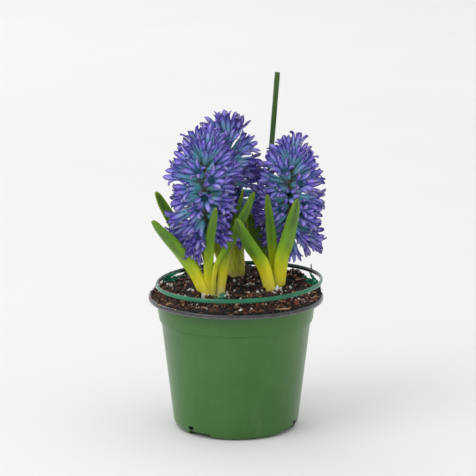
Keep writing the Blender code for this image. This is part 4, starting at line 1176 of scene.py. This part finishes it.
def teal_plastic(name, tint, deep, roughness, inner_face_shade=0.0):
    """Cloudy, finely scratched teal plastic with a little dust, and painted shade that darkens the inner face
    of the hoop.
    """
    material, tree = new_surface(name, Specular_IOR_Level=0.35, Coat_Weight=0.4, Coat_Roughness=0.12)
    base = mixed(tree, patches(tree, 60, 0.35, 0.65), tint, deep)
    if inner_face_shade:
        # Painted shade: inside the band's middle line the colour darkens towards near-black teal.
        level = add_node(tree, "ShaderNodeVectorMath", {0: coordinates(tree), 1: (1.0, 1.0, 0.0)},
                         operation="MULTIPLY").outputs[0]
        off_centre = add_node(tree, "ShaderNodeVectorMath", {0: level, 1: (HOOP_CENTRE[0], 0.0, 0.0)},
                              operation="DISTANCE").outputs["Value"]
        inner_side = between(tree, off_centre, HOOP_RADIUS, HOOP_RADIUS - 0.0005)
        base = mixed(tree, inner_side, base, (4, 34, 34), inner_face_shade)
    dust = patches(tree, 500, 0.60, 0.80)
    coat(tree, Base_Color=mixed(tree, dust, base, (150, 160, 150), 0.06),
         Roughness=ranged(tree, dust, roughness, roughness + 0.2), Normal=grained(tree, 900, 0.00006))
    return material


bpy.ops.mesh.primitive_torus_add(major_radius=HOOP_RADIUS, minor_radius=HOOP_SECTION[0], major_segments=180,
                                 minor_segments=20)
hoop = bpy.context.object
hoop.name = hoop.data.name = "plant_hoop"
for corner in hoop.data.vertices:
    corner.co.z *= HOOP_SECTION[1] / HOOP_SECTION[0]
nub_place = (HOOP_RADIUS * math.cos(HOOP_NUB_ANGLE), HOOP_RADIUS * math.sin(HOOP_NUB_ANGLE), HOOP_NUB_RISE)
bpy.ops.mesh.primitive_cone_add(vertices=16, radius1=HOOP_NUB_RADII[0], radius2=HOOP_NUB_RADII[1],
                                depth=HOOP_NUB_HEIGHT, location=nub_place)
nub = bpy.context.object
bpy.ops.object.transform_apply()
modify(hoop, "BOOLEAN", operation="UNION", object=nub)
bpy.data.objects.remove(nub, do_unlink=True)
hoop.data.transform(Matrix.Translation(HOOP_CENTRE) @ Matrix.Rotation(HOOP_TILT, 4, "Y"))
smooth(hoop, 50)
# The hoop gets the painted shade on its inner face at 0.8 strength.
hoop.data.materials.append(teal_plastic("hoop_teal", (0, 118, 78), (0, 96, 64), 0.22, 0.8))
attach(hoop, "root")
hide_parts("support_hoop")


# Hoop clips: tufts of crinkled teal green plastic that hold the hoop off the soil, each a small block
# with creased strips fanned out inwards. CLIPS gives each one's bearing, the swing, spread, steepness
# and height of its fan, and its reach.
CLIPS = ((167, -6, 1.7, 1.3, 0.0018, 1.5), (255, -8, 2.3, 0.8, 0.0002, 1.0),
         (355, 35, 1.7, 1.5, -0.0006, 1.1), (68, 0, 1.3, 1.0, 0.0, 1.0))
CLIP_BLOCK = (0.0034, 0.0014, 0.0036, 0.0008)
CLIP_TONGUE = (0.0014, 0.0026, 0.0018, 0.0027)
CLIP_FAN_WIDTH = 0.009
CLIP_FAN_FOOT = (-0.0042, -0.0010)
CLIP_LIFTS = (0.0, 0.15, 0.35, 0.6)
CLIP_STRIP_LENGTHS = (0.0075, 0.0145)
CLIP_STRIP_WIDTHS = (0.0022, 0.0036)
CLIP_STRIP_CURLS = (-0.0020, 0.0030)
CLIP_STRIPS = 15
CLIP_STRIP_ROWS = 6


def hoop_point(degrees):
    """A point on the middle line of the hoop."""
    angle = math.radians(degrees)
    return (Matrix.Translation(HOOP_CENTRE) @ Matrix.Rotation(HOOP_TILT, 4, "Y")
            @ Vector((HOOP_RADIUS * math.cos(angle), HOOP_RADIUS * math.sin(angle), 0)))


def crinkled_strip(draw, length):
    """One pointed strip from the origin along -Y, creased across, with its tip turned up or down."""
    bpy.ops.mesh.primitive_grid_add(x_subdivisions=2, y_subdivisions=CLIP_STRIP_ROWS, size=1)
    strip = bpy.context.object
    width = draw.uniform(*CLIP_STRIP_WIDTHS)
    curl = draw.uniform(*CLIP_STRIP_CURLS)
    for corner in strip.data.vertices:
        share = corner.co.y + 0.5
        crease, ragged = (0.0004, 1.25) if round(share * CLIP_STRIP_ROWS) % 2 else (-0.0004, 0.8)
        half = corner.co.x * width * ragged * (1 - share ** 1.6 * 0.9)
        corner.co = (half, -length * share, crease + curl * share ** 2)
    modify(strip, "SOLIDIFY", thickness=0.0004, offset=0)
    return strip


def clip_post(low, hoop_height, width, depth, inwards, under_hoop):
    """An upright bevelled block, set inwards from the hoop and ending a little under its middle line."""
    high = hoop_height - under_hoop
    bpy.ops.mesh.primitive_cube_add(size=1, location=(0, -inwards, (low + high) / 2))
    post = bpy.context.object
    post.scale = (width, depth, high - low)
    bpy.ops.object.transform_apply()
    modify(post, "BEVEL", width=0.0003, segments=2)
    return post


def clip_tuft(number, degrees, swing, spread, steepness, height, reach, draw):
    """One clip: a bevelled block and tongue from the soil to the hoop, and its fan of strips."""
    under = hoop_point(degrees)
    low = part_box(f"hoop_clip_{number}")[0].z
    parts = [clip_post(low, under.z, *sizes) for sizes in (CLIP_BLOCK, CLIP_TONGUE)]
    for index in range(CLIP_STRIPS):
        share = index / (CLIP_STRIPS - 1) - 0.5
        strip = crinkled_strip(draw, reach * draw.uniform(*CLIP_STRIP_LENGTHS))
        turn = math.radians(swing) - share * spread + draw.uniform(-0.25, 0.25)
        lift = -draw.choice(CLIP_LIFTS) * draw.uniform(0.7, 1.1) * steepness
        foot = Matrix.Translation((share * CLIP_FAN_WIDTH, CLIP_FAN_FOOT[0],
                                   under.z + CLIP_FAN_FOOT[1] + height))
        strip.data.transform(foot @ Matrix.Rotation(turn, 4, "Z") @ Matrix.Rotation(lift, 4, "X")
                             @ Matrix.Rotation(draw.uniform(-0.9, 0.9), 4, "Y"))
        parts.append(strip)
    clip = joined(f"clip_tuft_{number}", parts)
    clip.data.transform(Matrix.Translation((under.x, under.y, 0))
                        @ Matrix.Rotation(math.radians(degrees - 90), 4, "Z"))
    return clip


CLIP_TEAL = teal_plastic("clip_teal", (14, 146, 104), (4, 92, 64), 0.24)
clip_draw = random.Random(5)
for clip_number, clip_facts in enumerate(CLIPS, 1):
    clip = clip_tuft(clip_number, *clip_facts, clip_draw)
    smooth(clip, 35)
    clip.data.materials.append(CLIP_TEAL)
    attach(clip, "root")
    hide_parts(f"hoop_clip_{clip_number}")


# Studio: a wide bowl of seamless pale paper that curves up far off on every side, a soft light from
# the upper left, one over the back, bright even surroundings, and the camera a little above the pot.
CAMERA_PLACE = Vector((0.0019, -2.150, 0.653))
CAMERA_AIM = Vector((0.0019, 0.0, 0.181))
CAMERA_LENS = 177.4
PAPER_FLAT = 4.2
PAPER_BEND = 2.2
PAPER_STEPS = 16


def soft_light(name, place, aim, size, power):
    """A square soft box aimed at a point."""
    bpy.ops.object.light_add(type="AREA", location=place)
    light = bpy.context.object
    light.name = name
    light.data.size = size
    light.data.energy = power
    light.rotation_euler = (Vector(aim) - Vector(place)).to_track_quat("-Z", "Y").to_euler()


bpy.ops.mesh.primitive_circle_add(vertices=128, radius=PAPER_FLAT, fill_type="NGON")
paper = bpy.context.object
paper.name = "paper_bowl"
bpy.ops.object.mode_set(mode="EDIT")
bpy.ops.mesh.select_mode(type="EDGE")
bpy.ops.mesh.select_all(action="SELECT")
bends = [math.pi / 2 * step / PAPER_STEPS for step in range(PAPER_STEPS + 1)]
carried_through([(PAPER_FLAT + PAPER_BEND * math.sin(bend), PAPER_BEND * (1 - math.cos(bend)))
                 for bend in bends])
bpy.ops.object.mode_set(mode="OBJECT")
smooth(paper, 60)
paper_white, paper_tree = new_surface("paper", Roughness=0.9, Specular_IOR_Level=0.1)
coat(paper_tree, Base_Color=mixed(paper_tree, patches(paper_tree, 3, 0.3, 0.7), (239, 239, 239),
                                  (237, 237, 238)))
paper.data.materials.append(paper_white)

soft_light("key_light", place=(-1.5, -1.2, 1.9), aim=(0.0, 0.0, 0.15), size=1.6, power=19)
soft_light("back_light", place=(-1.2, 3.0, 2.4), aim=(-0.6, 2.6, 0.0), size=2.0, power=15)

world = bpy.data.worlds.new("studio")
world.use_nodes = True
world.node_tree.nodes["Background"].inputs["Color"].default_value = (1.0, 0.995, 0.985, 1)
world.node_tree.nodes["Background"].inputs["Strength"].default_value = 0.90
bpy.context.scene.world = world
bpy.context.scene.view_settings.view_transform = "Standard"

camera_data = bpy.data.cameras.new("camera")
camera_data.lens = CAMERA_LENS
camera_data.sensor_width = 36.0
camera_data.clip_end = 50.0
camera = bpy.data.objects.new("camera", camera_data)
bpy.context.scene.collection.objects.link(camera)
camera.location = CAMERA_PLACE
camera.rotation_euler = (CAMERA_AIM - CAMERA_PLACE).to_track_quat("-Z", "Y").to_euler()
bpy.context.scene.camera = camera
